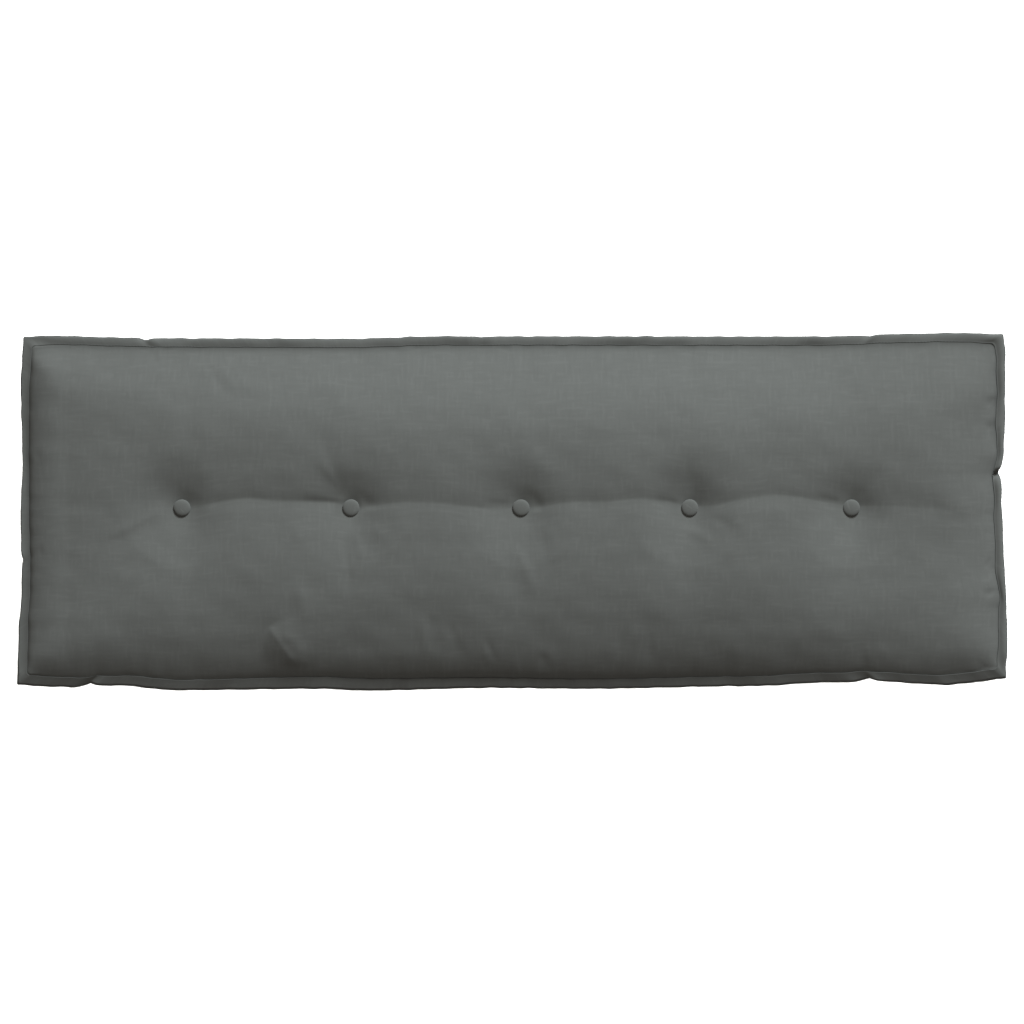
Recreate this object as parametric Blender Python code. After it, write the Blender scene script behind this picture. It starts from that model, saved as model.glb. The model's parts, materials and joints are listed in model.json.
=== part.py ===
"""Tufted back cushion, lying on its back.

A long padded cushion with a narrow flange sewn round its front face, a matching flange
round its back face, and five cloth-covered buttons pulled down into the front.

X runs along the length, Y up the height and Z out of the front face, all in metres.
The origin is on the surface that the cushion lies on, under its middle.
"""

import math
from typing import NamedTuple

import bmesh
import bpy
import numpy as np

MM = 0.001

# Overall sizes
LENGTH = 1.094              # over the flanges, before the edges stray
HEIGHT = 0.388              # over the flanges, before the edges stray
THICKNESS = 0.100           # from the floor to the top of the crown
SEWN_GAP = 0.3 * MM         # between two pieces that are sewn or pulled together

# Flanges
FLANGE_WIDTH = 0.0105       # from the seam to the rolled outer edge
FLANGE_THICK = 0.003        # two layers of cloth with the seam allowance between them
FRONT_FLANGE_Z = 0.066      # middle of the front flange
BACK_FLANGE_Z = 0.013       # middle of the back flange
FLANGE_DROOP = 0.0012       # how far the outer edge waves up and down
HANG_LEFT = 0.0036          # the front flange turns down by this much at the left end
HANG_BOTTOM = 0.0046        # and along the bottom

# Filled body
SEAM_X = LENGTH / 2 - FLANGE_WIDTH
SEAM_Y = HEIGHT / 2 - FLANGE_WIDTH
SEAM_CORNER = 0.0045        # corner radius along the seams
BOXING_CORNER = 0.016       # extra corner radius half way down the boxing strip
BOXING_BULGE = 0.0065       # how far the filling pushes the boxing strip out
BOXING_PULL_IN = 0.045      # length of the flatter stretch beside each corner
BACK_RUN = 0.048            # from the seam to where the back lies flat on the floor
BACK_POWER = 2.2            # larger is steeper at the seam

# Crown of the front face
SEAM_EASE = 0.0016          # the cloth leaves its seam level, and then climbs
RUN_MIDDLE = 0.150          # from a long seam to the full height, half way along
RUN_ENDS = 0.025            # and at the two ends
GROWTH_LEFT = 0.150         # how fast the run grows from the left end inwards
GROWTH_RIGHT = 0.085
TOP_KNEE, TOP_SOFT = 0.51, 0.113         # shares of the run: where the climb from the
BOTTOM_KNEE, BOTTOM_SOFT = 0.46, 0.135   # seam rounds over, and how softly
END_RUN = 0.050             # the steeper climb from each end seam
END_SHARE = 0.26            # and its share of the full height
END_LIP, LIP_REACH = 0.07, 0.006
LONG_RUN = 0.300            # the rest of the height is gained over this length

# Button row
BUTTON_X = (-0.3655, -0.178, 0.010, 0.1965, 0.376)
BUTTON_Y = 0.0047
BUTTON_RADIUS = 0.0095
BUTTON_EDGE = 0.0018        # height of the widest part above the underside
BUTTON_DOME = 0.0050        # height of the dome above the underside
SEAT_RADIUS = 0.0137        # flat ground under each button
TUFT_DEPTH = 0.0105         # from the crown down to a seat
TUFT_REACH = 0.052          # from the flat ground to where the tuft ends
TUFT_POWER = 1.65           # larger is steeper at the button
VALLEY_REACH = 0.056        # how far the channel from button to button spreads
CREASE_Y = 0.0095           # the row of points that follows the crease
BACK_TUFT_DEPTH = 0.005     # shallow dimples where the buttons are tied off
BACK_TUFT_REACH = 0.020

# How finely the faces are divided
SEAM_STEPS = (0.0, 0.006, 0.015, 0.030, 0.050, 0.074)    # lines beside a seam
SEAT_STEPS = (-0.024, -0.012, -0.006, 0.0, 0.006, 0.012, 0.024)   # lines at a button
CREASE_STEPS = (-0.045, -0.024, -0.018, -0.012, -0.006, 0.0, 0.0048, 0.012, 0.018,
                0.024, 0.045)
WIDEST_STEP = 0.020
BOXING_ROWS = 4
BUTTON_SIDES = 20

COVER_COLOUR = (0.139, 0.145, 0.136)
FLANGE_COLOUR = (0.120, 0.125, 0.117)
BUTTON_COLOUR = (0.130, 0.136, 0.127)


class Stray(NamedTuple):
    """One place on an edge, and how far out of the straight the edge lies there."""

    place_mm: float
    out_mm: float


class Notch(NamedTuple):
    """A short nick where the flange is drawn in."""

    side: str
    place_mm: float
    depth_mm: float
    reach_mm: float


class CreasePoint(NamedTuple):
    """One place on the crease, and how deep its channel is there."""

    x_mm: float
    y_mm: float
    depth_mm: float


class Fold(NamedTuple):
    """A soft trough in the front face, or a ridge where its depth is below zero."""

    x_mm: float
    y_mm: float
    heading_deg: float
    half_length_mm: float
    half_width_mm: float
    depth_mm: float


EDGE_STRAY = {
    "top": (
        Stray(-550, 0), Stray(-500, 1), Stray(-430, -1), Stray(-350, -2.5),
        Stray(-180, -2.5), Stray(-80, 0.5), Stray(340, 0.5), Stray(430, 3),
        Stray(480, 4), Stray(550, 2.5),
    ),
    "bottom": (
        Stray(-550, -2), Stray(-480, 1), Stray(-430, -1), Stray(-365, 4),
        Stray(-210, 2), Stray(-160, 4), Stray(-20, 1), Stray(80, 2),
        Stray(260, -1), Stray(345, -5), Stray(400, -6), Stray(470, -2.5),
        Stray(550, -10),
    ),
    "left": (
        Stray(-175, 3), Stray(-130, 2), Stray(-80, -1.5), Stray(0, -0.5),
        Stray(50, -2.5), Stray(130, -0.5), Stray(190, -3.5),
    ),
    "right": (
        Stray(-175, 2.2), Stray(-140, 4), Stray(-104, 2.8), Stray(-70, 1.2),
        Stray(-37, -0.6), Stray(13, -2.5), Stray(40, -2.5), Stray(63, -0.5),
        Stray(96, 1.2), Stray(140, 1.2), Stray(163, 1.5), Stray(190, -1.5),
    ),
}

NOTCHES = (
    Notch("top", -400, 2.5, 7),
    Notch("top", -33, 1.2, 6),
    Notch("top", 395, 1.6, 6),
    Notch("bottom", -459, 4, 7),
    Notch("bottom", 389, 3, 9),
    Notch("left", -50, 1.5, 8),
    Notch("right", 42, 3.5, 10),
)

CREASE = (
    CreasePoint(-560, 2, 0.0), CreasePoint(-440, 3, 0.4), CreasePoint(-385, 5, 2.0),
    CreasePoint(-345, 7, 5.0), CreasePoint(-321, 12, 5.6), CreasePoint(-294, 15.2, 5.6),
    CreasePoint(-254, 12.2, 6.4), CreasePoint(-201, 11, 8.0), CreasePoint(-178, 8, 8.0),
    CreasePoint(-161, 9, 6.8), CreasePoint(-142, 11, 6.0), CreasePoint(-82, 9.8, 5.2),
    CreasePoint(-55, 6.8, 5.4), CreasePoint(-29, 3.6, 6.2), CreasePoint(10, 4.5, 7.0),
    CreasePoint(34, 7.5, 6.6), CreasePoint(55, 10.8, 6.2), CreasePoint(104, 11.2, 5.2),
    CreasePoint(141, 15.2, 5.6), CreasePoint(172, 10.8, 6.6), CreasePoint(196, 6, 7.0),
    CreasePoint(225, 7.2, 6.4), CreasePoint(252, 14.2, 5.8),
    CreasePoint(290, 19.4, 5.8), CreasePoint(318, 16.4, 6.4),
    CreasePoint(345, 10.5, 6.6), CreasePoint(376, 6, 6.6), CreasePoint(418, 6.4, 5.0),
    CreasePoint(462, 5, 2.4), CreasePoint(500, 2, 0.6), CreasePoint(560, 0, 0.0),
)

FOLDS = (
    Fold(-428, -24, 211, 30, 12, 1.0),      # below the first button, out to the left
    Fold(-212, 36, 130, 28, 10, 1.0),       # up and to the left of the second button
    Fold(-269, -152, 270, 22, 14, 3.0),     # pinched up from the lower seam
    Fold(-235, -122, 278, 34, 10, -0.8),
    Fold(-86, -144, 287, 22, 10, 0.8),
    Fold(391, -164, 270, 20, 12, 2.0),      # above the deepest nick
    Fold(-396, 176, 285, 18, 9, 1.6),
)


def stray(side, place, notch_share=1.0):
    """Distance that this edge lies out from the straight, at this place along it."""
    rows = EDGE_STRAY[side]
    places = [row.place_mm * MM for row in rows]
    outs = [row.out_mm * MM for row in rows]
    first = int(np.clip(np.searchsorted(places, place) - 1, 0, len(rows) - 2))
    span = places[first + 1] - places[first]
    part = min(1.0, max(0.0, (place - places[first]) / span))
    part = part * part * (3 - 2 * part)
    out = outs[first] + (outs[first + 1] - outs[first]) * part
    for notch in NOTCHES:
        if notch.side == side:
            away = (place - notch.place_mm * MM) / (notch.reach_mm * MM)
            out -= notch_share * notch.depth_mm * MM * math.exp(-away * away)
    return out


def rounded(x, y, half_x, half_y, radius):
    """Move a point of a rectangle so that the rectangle's corners become round."""
    past_x = abs(x) - (half_x - radius)
    past_y = abs(y) - (half_y - radius)
    if past_x <= 0 or past_y <= 0:
        return x, y
    shrink = max(past_x, past_y) / math.hypot(past_x, past_y)
    return (
        math.copysign(half_x - radius + past_x * shrink, x),
        math.copysign(half_y - radius + past_y * shrink, y),
    )


def placed(u, v, out=0.0, corner=SEAM_CORNER, notch_share=0.35):
    """Plan position of the face point (u, v), spread so that the seam moves out by out."""
    x = u * (SEAM_X + out) / SEAM_X
    y = v * (SEAM_Y + out) / SEAM_Y
    x, y = rounded(x, y, SEAM_X + out, SEAM_Y + out, corner)
    across, up = u / SEAM_X, v / SEAM_Y
    side_x = "right" if u > 0 else "left"
    side_y = "top" if v > 0 else "bottom"
    x += stray(side_x, v, notch_share) * across * abs(across) ** 2
    y += stray(side_y, u, notch_share) * up * abs(up) ** 2
    return x, y


def lines(half, centres, steps):
    """Positions from -half to half: close at the seams and buttons, wider between."""
    fixed = {step - half for step in SEAM_STEPS} | {half - step for step in SEAM_STEPS}
    fixed |= {centre + step for centre in centres for step in steps}
    fixed = sorted(fixed)
    found = fixed[:1]
    for start, end in zip(fixed, fixed[1:]):
        parts = math.ceil((end - start) / WIDEST_STEP - 0.001)
        found += [start + (end - start) * k / parts for k in range(1, parts + 1)]
    return found


def eased(share):
    """0 to 1 with a level start and end."""
    share = min(1.0, max(0.0, share))
    return share * share * (3 - 2 * share)


def rise(distance, run, power):
    """Share of the full height at this distance in from a seam."""
    left = min(1.0, max(0.0, 1 - distance / run))
    return 1 - left**power


def climb(distance, knee, soft):
    """Share of the full height of a straight climb that rounds over at its knee."""
    start = soft * math.log1p(math.exp(-knee / soft))
    over = soft * float(np.logaddexp(0.0, (distance - knee) / soft))
    return (distance - over + start) / (knee + start)


def eased_in(distance):
    """Distance from a seam, slowed close to it so that the cloth leaves level."""
    return distance - SEAM_EASE * (1 - math.exp(-distance / SEAM_EASE))


def along_crease(x, values):
    """Run smoothly through one value, in millimetres, for each point of the crease."""
    places = [point.x_mm * MM for point in CREASE]
    first = int(np.clip(np.searchsorted(places, x) - 1, 0, len(places) - 2))
    share = eased((x - places[first]) / (places[first + 1] - places[first]))
    return (values[first] + (values[first + 1] - values[first]) * share) * MM


def crease_y(x):
    """Height on the face of the crease that runs along the button row."""
    values = [point.y_mm for point in CREASE]
    soft = (-0.010, -0.005, 0.0, 0.005, 0.010)
    return sum(along_crease(x + shift, values) for shift in soft) / len(soft)


def channel(x, y):
    """Depth of the shallow channel that joins the buttons."""
    depth = along_crease(x, [point.depth_mm for point in CREASE])
    return depth * math.exp(-abs(y - crease_y(x)) / VALLEY_REACH)


def nearest_button(x, y):
    """Distance in plan to the nearest button."""
    return min(math.hypot(x - place, y - BUTTON_Y) for place in BUTTON_X)


def crown(u, v):
    """Share of the front's full height, drawn down towards all four seams."""
    in_x, in_y = eased_in(SEAM_X - abs(u)), eased_in(SEAM_Y - abs(v))
    growth = GROWTH_LEFT + (GROWTH_RIGHT - GROWTH_LEFT) * eased(0.5 + u / 0.6)
    run = RUN_ENDS + (RUN_MIDDLE - RUN_ENDS) * (1 - math.exp(-in_x / growth))
    ends = END_SHARE * rise(in_x, END_RUN, 2.0)
    ends += END_LIP * (1 - math.exp(-in_x / LIP_REACH))
    ends += (1 - END_SHARE - END_LIP) * eased((in_x - 0.020) / LONG_RUN)
    above = eased(0.5 + v / 0.080)
    knee = BOTTOM_KNEE + (TOP_KNEE - BOTTOM_KNEE) * above
    soft = BOTTOM_SOFT + (TOP_SOFT - BOTTOM_SOFT) * above
    return climb(in_y, knee * run, soft * run) * ends


FRONT_SEAM_Z = FRONT_FLANGE_Z + FLANGE_THICK / 2 + SEWN_GAP
CROWN_HEIGHT = THICKNESS - FRONT_SEAM_Z + 0.0012


def seat_z(x):
    """Height of the flat ground under the button at this place in the row."""
    dip = math.hypot(TUFT_DEPTH, channel(x, BUTTON_Y))
    return FRONT_SEAM_Z + CROWN_HEIGHT * crown(x, BUTTON_Y) - dip


def front_z(x, y, u, v):
    """Height of the front face."""
    share = crown(u, v)
    from_seat = nearest_button(x, y) - SEAT_RADIUS
    if from_seat <= 0:
        return seat_z(min(BUTTON_X, key=lambda place: abs(place - x)))
    tuft = TUFT_DEPTH * max(0.0, 1 - from_seat / TUFT_REACH) ** TUFT_POWER
    dip = math.hypot(tuft, channel(x, y))
    for fold in FOLDS:
        turn = math.radians(fold.heading_deg)
        off_x, off_y = x - fold.x_mm * MM, y - fold.y_mm * MM
        along = off_x * math.cos(turn) + off_y * math.sin(turn)
        across = off_y * math.cos(turn) - off_x * math.sin(turn)
        near = (along / (fold.half_length_mm * MM)) ** 2
        near += (across / (fold.half_width_mm * MM)) ** 2
        dip += fold.depth_mm * MM * math.exp(-near)
    return FRONT_SEAM_Z + max(CROWN_HEIGHT * share - dip * min(1.0, share * 3), 0.0)


def hollow(u, v):
    """Share of the back's full depth, drawn in towards all four seams."""
    across = rise(SEAM_X - abs(u), BACK_RUN, BACK_POWER)
    return across * rise(SEAM_Y - abs(v), BACK_RUN, BACK_POWER)


def back_z(x, y, u, v):
    """Height of the back face, flat on the floor but for its rim and the tied tufts."""
    rim = BACK_FLANGE_Z - FLANGE_THICK / 2 - SEWN_GAP
    away = nearest_button(x, y)
    tuft = BACK_TUFT_DEPTH * max(0.0, 1 - (away / BACK_TUFT_REACH) ** 2) ** 2
    return rim * (1 - hollow(u, v)) + tuft


def new_object(name, form, colour, roughness, sharp_deg, parent):
    """Turn a bmesh into a named object with a material of its own."""
    bmesh.ops.recalc_face_normals(form, faces=form.faces)
    mesh = bpy.data.meshes.new(name)
    form.to_mesh(mesh)
    form.free()
    mesh.shade_smooth()
    mesh.set_sharp_from_angle(angle=math.radians(sharp_deg))
    cloth = bpy.data.materials.new(name + "_cloth")
    cloth.use_nodes = True
    shader = cloth.node_tree.nodes["Principled BSDF"]
    shader.inputs["Base Color"].default_value = (*colour, 1.0)
    shader.inputs["Roughness"].default_value = roughness
    shader.inputs["Metallic"].default_value = 0.0
    mesh.materials.append(cloth)
    made = bpy.data.objects.new(name, mesh)
    bpy.context.scene.collection.objects.link(made)
    made.parent = parent
    return made


def add_face(form, params, columns, rows, height, follow_crease):
    """Add one divided face and return its points, keyed by column and row."""
    points = {}
    for i, u in enumerate(columns):
        for j, v in enumerate(rows):
            bend = 0.0
            if follow_crease:
                bend = crease_y(u) - CREASE_Y
                bend *= math.exp(-(((v - CREASE_Y) / 0.060) ** 2))
            x, y = placed(u, v + bend)
            point = form.verts.new((x, y, height(x, y, u, v + bend)))
            point[params[0]], point[params[1]] = u, v
            points[i, j] = point
    for i in range(len(columns) - 1):
        for j in range(len(rows) - 1):
            form.faces.new(
                (points[i, j], points[i + 1, j], points[i + 1, j + 1], points[i, j + 1])
            )
    return points


def boxing_out(u, v, down):
    """How far the boxing strip stands out from the seam, down being 0 to 1."""
    if abs(u) < SEAM_X - 1e-6:
        from_corner = SEAM_X - abs(u)
    else:
        from_corner = SEAM_Y - abs(v)
    fill = 1 - 0.75 * math.exp(-((from_corner / BOXING_PULL_IN) ** 2))
    return BOXING_BULGE * fill * math.sin(math.pi * down) ** 0.8


def rim_of(form):
    return [edge for edge in form.edges if edge.is_boundary]


def build_body(parent):
    """The filled cushion: front face, boxing strip and back face in one closed form."""
    form = bmesh.new()
    params = (form.verts.layers.float.new("u"), form.verts.layers.float.new("v"))
    columns = lines(SEAM_X, BUTTON_X, SEAT_STEPS)
    rows = lines(SEAM_Y, (BUTTON_Y,), CREASE_STEPS)
    add_face(form, params, columns, rows, front_z, True)
    strip = FLANGE_THICK / 2 + SEWN_GAP
    top, low = FRONT_FLANGE_Z - strip, BACK_FLANGE_Z + strip
    edge = rim_of(form)
    for row in range(BOXING_ROWS + 2):
        down = min(1.0, row / BOXING_ROWS)
        level = top + (low - top) * down
        if row > BOXING_ROWS:
            level = BACK_FLANGE_Z - strip
        made = bmesh.ops.extrude_edge_only(form, edges=edge)["geom"]
        for point in made:
            if isinstance(point, bmesh.types.BMVert):
                u, v = point[params[0]], point[params[1]]
                corner = SEAM_CORNER + BOXING_CORNER * math.sin(math.pi * down)
                point.co.x, point.co.y = placed(u, v, boxing_out(u, v, down), corner)
                point.co.z = level
        edge = [item for item in made if isinstance(item, bmesh.types.BMEdge)]
    add_face(form, params, columns, rows, back_z, False)
    bmesh.ops.remove_doubles(form, verts=form.verts, dist=0.02 * MM)
    return new_object("cushion", form, COVER_COLOUR, 0.95, 50, parent)


def build_flange(name, level, phase, hang, parent):
    """A flat ring of doubled cloth, with a low dip beside the seam and a rolled edge."""
    half = FLANGE_THICK / 2
    # Columns: share of the width from the seam, height from the middle.
    section = ((0.0, half), (0.45, half * 0.7), (0.85, half), (1.0, -0.3 * half))
    section += ((0.85, -half), (0.0, -half))
    columns = lines(SEAM_X, BUTTON_X, SEAT_STEPS)
    rows = lines(SEAM_Y, (BUTTON_Y,), CREASE_STEPS)
    walk = [(u, -SEAM_Y) for u in columns[:-1]]
    walk += [(SEAM_X, v) for v in rows[:-1]]
    walk += [(u, SEAM_Y) for u in columns[:0:-1]]
    walk += [(-SEAM_X, v) for v in rows[:0:-1]]
    form = bmesh.new()
    rings = []
    for share, lift in section:
        out = SEWN_GAP + (FLANGE_WIDTH - SEWN_GAP) * share
        ring = []
        for u, v in walk:
            corner = SEAM_CORNER + SEWN_GAP - (SEAM_CORNER - 0.0015) * share
            x, y = placed(u, v, out, corner, 0.35 + 0.65 * share)
            wave = math.sin(u * 31 + v * 23 + phase) + 0.6 * math.sin(u * 67 - v * 41)
            droop = FLANGE_DROOP * share * wave / 1.6
            at_left = HANG_LEFT * eased(1 - (u + SEAM_X) / 0.030)
            at_bottom = HANG_BOTTOM * eased(1 - (v + SEAM_Y) / 0.030)
            droop -= hang * share * max(at_left, at_bottom)
            ring.append(form.verts.new((x, y, level + lift + droop)))
        rings.append(ring)
    for ring, after in zip(rings, rings[1:] + rings[:1]):
        for k in range(len(ring)):
            m = (k + 1) % len(ring)
            form.faces.new((ring[k], ring[m], after[m], after[k]))
    return new_object(name, form, FLANGE_COLOUR, 0.95, 60, parent)


def build_button(name, x, parent):
    """A covered button: flat underside, rounded rim and shallow dome."""
    form = bmesh.new()
    profile = [(0.0, 0.0), (BUTTON_RADIUS * 0.86, 0.0)]
    for step in range(6):
        turn = math.radians(90 * step / 5)
        over = BUTTON_DOME - BUTTON_EDGE
        reach = BUTTON_RADIUS * math.cos(turn) if step < 5 else 0.0
        profile.append((reach, BUTTON_EDGE + over * math.sin(turn)))
    line = [form.verts.new((reach, 0.0, up)) for reach, up in profile]
    for start, end in zip(line, line[1:]):
        form.edges.new((start, end))
    bmesh.ops.spin(
        form, geom=form.verts[:] + form.edges[:], cent=(0, 0, 0), axis=(0, 0, 1),
        dvec=(0, 0, 0), angle=math.tau, steps=BUTTON_SIDES, use_duplicate=False,
    )
    bmesh.ops.remove_doubles(form, verts=form.verts, dist=0.02 * MM)
    made = new_object(name, form, BUTTON_COLOUR, 0.9, 50, parent)
    made.location = (x, BUTTON_Y, seat_z(x) + SEWN_GAP)
    return made


def main():
    for old in list(bpy.data.objects):
        bpy.data.objects.remove(old, do_unlink=True)
    whole = bpy.data.objects.new("back_cushion", None)
    bpy.context.scene.collection.objects.link(whole)
    build_body(whole)
    build_flange("front_flange", FRONT_FLANGE_Z, 0.4, 1.0, whole)
    build_flange("back_flange", BACK_FLANGE_Z, 2.3, 0.0, whole)
    for number, place in enumerate(BUTTON_X, start=1):
        build_button(f"button_{number}", place, whole)


main()
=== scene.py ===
"""Tufted back cushion in dark grey melange cloth, dressed and lit for a studio picture.

The cushion lies on its back with its front face up. X runs along its length, Y up its
height in use and Z out of its front face, in metres. The padded cover, the two flanges,
the topstitching and the covered buttons are each built here round the fixed frame.
"""

from __future__ import annotations

import json
import logging
import math
from dataclasses import dataclass, field
from enum import Enum

import bpy
import numpy as np
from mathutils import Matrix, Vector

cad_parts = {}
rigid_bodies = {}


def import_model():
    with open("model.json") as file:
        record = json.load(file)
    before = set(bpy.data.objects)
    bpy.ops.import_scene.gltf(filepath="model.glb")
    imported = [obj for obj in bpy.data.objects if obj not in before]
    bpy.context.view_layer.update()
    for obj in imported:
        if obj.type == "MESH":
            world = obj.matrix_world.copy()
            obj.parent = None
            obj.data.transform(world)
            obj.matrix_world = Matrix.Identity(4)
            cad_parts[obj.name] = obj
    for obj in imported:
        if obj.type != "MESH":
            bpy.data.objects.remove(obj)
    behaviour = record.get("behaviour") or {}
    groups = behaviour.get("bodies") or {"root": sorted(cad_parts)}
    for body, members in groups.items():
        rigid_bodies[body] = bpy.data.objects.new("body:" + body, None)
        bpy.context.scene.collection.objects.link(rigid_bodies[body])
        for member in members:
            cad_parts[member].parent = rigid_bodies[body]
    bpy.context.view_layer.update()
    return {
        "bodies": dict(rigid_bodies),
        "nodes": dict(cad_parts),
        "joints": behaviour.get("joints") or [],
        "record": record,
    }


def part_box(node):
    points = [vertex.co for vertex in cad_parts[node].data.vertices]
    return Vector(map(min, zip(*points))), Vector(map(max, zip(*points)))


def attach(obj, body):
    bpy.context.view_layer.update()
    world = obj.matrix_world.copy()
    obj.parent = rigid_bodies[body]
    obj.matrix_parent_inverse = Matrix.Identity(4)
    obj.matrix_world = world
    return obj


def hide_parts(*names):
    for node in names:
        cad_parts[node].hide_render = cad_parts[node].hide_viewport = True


LOG = logging.getLogger("back_cushion")
MM = 0.001
ROOT = "root"
FLANGE_WIDTH = 0.0105
HALF_LENGTH, HALF_HEIGHT = 0.547, 0.194     # of the cushion, with its flange
BUTTON_SUNK = 0.0016    # a button is drawn this far into its seat
STITCH_SUNK = 0.0001    # and a stitch this far into the seam
AT_SEAM = 0.35          # share of each nick that shows at the seam itself
SIDE = 0.030            # width of the strip that hangs or fills out as its side does
SAME = 1e-6             # places closer than this are the same
FINE = 3                # lines of the front's fine grid to each of its coarse one's

Socket = bpy.types.NodeSocket
Tree = bpy.types.NodeTree
Material = bpy.types.Material
Piece = bpy.types.Object
Colour = tuple[float, float, float, float]
Pair = tuple[float, float]
Array = np.ndarray


# ---------------------------------------------------------------- small helpers


def linear(hex_colour: str) -> Colour:
    """Turn the six sRGB hex digits of a colour into linear values, with alpha 1.

    Args:
        hex_colour: the six digits.

    Returns:
        Red, green, blue and alpha.
    """
    parts = [int(hex_colour[k : k + 2], 16) / 255 for k in (0, 2, 4)]
    red, green, blue = (
        c / 12.92 if c <= 0.04045 else ((c + 0.055) / 1.055) ** 2.4 for c in parts
    )
    return red, green, blue, 1.0


def bell(distance: Array, reach: float) -> Array:
    """Smooth bump that is 1 at no distance and fades over the reach."""
    return np.exp(-((distance / reach) ** 2))


def eased(share: Array) -> Array:
    """Ease a share from 0 to 1 with no corner at either end."""
    share = np.clip(share, 0.0, 1.0)
    return share * share * (3 - 2 * share)


def blend(first: Array, last: Array, share: Array) -> Array:
    """Go from the first value to the last one by some share."""
    return first + (last - first) * share


def fading(distance: Array, reach: Array) -> Array:
    """Share that is 1 at no distance and dies away over the reach."""
    return np.exp(-distance / reach)


def past(place: Array, run: float) -> Array:
    """Share that eases from 0 to 1 over a run with its middle at zero."""
    return eased(0.5 + place / run)


def through(at: Array, known: Array, place: Array) -> Array:
    """Run smoothly through one known value at each of some rising positions.

    Args:
        at: the positions.
        known: the value at each of them.
        place: where values are wanted.

    Returns:
        The values there.
    """
    first = np.clip(np.searchsorted(at, place) - 1, 0, len(at) - 2)
    share = eased((place - at[first]) / (at[first + 1] - at[first]))
    return blend(known[first], known[first + 1], share)


def swell(x: Array, y: Array, wavelength: float, seed: int, waves: int = 7) -> Array:
    """Gentle random unevenness, the same on every run.

    Args:
        x: places along the length.
        y: places up the height.
        wavelength: usual distance from one swell to the next.
        seed: which pattern to make.
        waves: number of plain waves that are added up.

    Returns:
        Values of about -1 to 1, with a mean of nearly 0.
    """
    dice = np.random.default_rng(seed)
    total = np.zeros_like(x)
    for _ in range(waves):
        turn = dice.uniform(0, math.tau)
        stretch = dice.uniform(0.75, 1.35) / wavelength * math.tau
        along = x * math.cos(turn) + y * math.sin(turn)
        total += np.sin(along * stretch + dice.uniform(0, math.tau))
    return total / math.sqrt(waves)


def graded(
    half: float, parts: int, places: tuple[float, ...], reach: float, gain: float
) -> Array:
    """Positions from -half to half, closer together near some places.

    Args:
        half: half of the whole run.
        parts: number of steps.
        places: where the positions crowd together.
        reach: how wide each crowded stretch is.
        gain: how much closer the positions are there.

    Returns:
        parts + 1 rising positions.
    """
    fine = np.linspace(-half, half, 8001)
    density = 1 + sum(gain * bell(fine - place, reach) for place in places)
    total = np.concatenate([[0.0], np.cumsum((density[1:] + density[:-1]) / 2)])
    return np.interp(np.linspace(0.0, total[-1], parts + 1), total, fine)


def quads(across: int, up: int) -> Array:
    """Point numbers of the four corners of each cell of a grid, anticlockwise.

    Args:
        across: number of points along the grid.
        up: number of points up it.

    Returns:
        A row of four point numbers for each cell.
    """
    number = np.arange(across * up).reshape(across, up)
    corners = number[:-1, :-1], number[1:, :-1], number[1:, 1:], number[:-1, 1:]
    return np.stack(corners, 2).reshape(-1, 4)


def rim_of(across: int, up: int) -> tuple[Array, Array]:
    """Column and row numbers once round a grid's rim, anticlockwise from low left.

    Args:
        across: number of points along the grid.
        up: number of points up it.

    Returns:
        The columns and the rows.
    """
    along, climb = np.arange(across), np.arange(up)
    right, top = np.full(up - 1, across - 1), np.full(across - 1, up - 1)
    column = [along[:-1], right, along[:0:-1], 0 * right]
    row = [0 * top, climb[:-1], top, climb[:0:-1]]
    return np.concatenate(column), np.concatenate(row)


@dataclass
class Skin:
    """Faces of a piece as they are laid, with each corner's cloth coordinates."""

    faces: list[list[int]] = field(default_factory=list)
    cloth: list[Array] = field(default_factory=list)

    def lay(self, faces: Array, cloth: Array) -> None:
        """Add one face for each row of point numbers.

        Args:
            faces: the point numbers, all rows alike in length.
            cloth: cloth u, v of each of them.
        """
        self.faces += faces.tolist()
        self.cloth.append(cloth.reshape(-1, 2))

    def grid(self, flat: Array, start: int = 0, flipped: bool = False) -> None:
        """Add the cells of a grid of points.

        Args:
            flat: cloth u, v of each grid point.
            start: number of the grid's first point.
            flipped: whether the faces look down.
        """
        cells = quads(*flat.shape[:2])
        if flipped:
            cells = cells[:, [0, 3, 2, 1]]
        self.lay(cells + start, flat.reshape(-1, 2)[cells])

    def band(self, first: Array, last: Array, step: Array,
             over: Pair) -> None:
        """Join two closed rows of points.

        Args:
            first: point numbers of one row.
            last: point numbers of the other.
            step: cloth distance along the rows, up to and with the closing point.
            over: cloth distances across, at one row and at the other.
        """
        here, ahead = step[:-1], step[1:]
        low, high = (np.full(len(first), value) for value in over)
        corners = [here, low, here, high, ahead, high, ahead, low]
        ring = [first, last, np.roll(last, -1), np.roll(first, -1)]
        self.lay(np.stack(ring, 1), np.stack(corners, 1))


def linked(name: str, data: bpy.types.ID) -> Piece:
    """Make an object and link it into the scene.

    Args:
        name: name of the object.
        data: its mesh, light or camera.

    Returns:
        The new object.
    """
    made = bpy.data.objects.new(name, data)
    bpy.context.scene.collection.objects.link(made)
    return made


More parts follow.
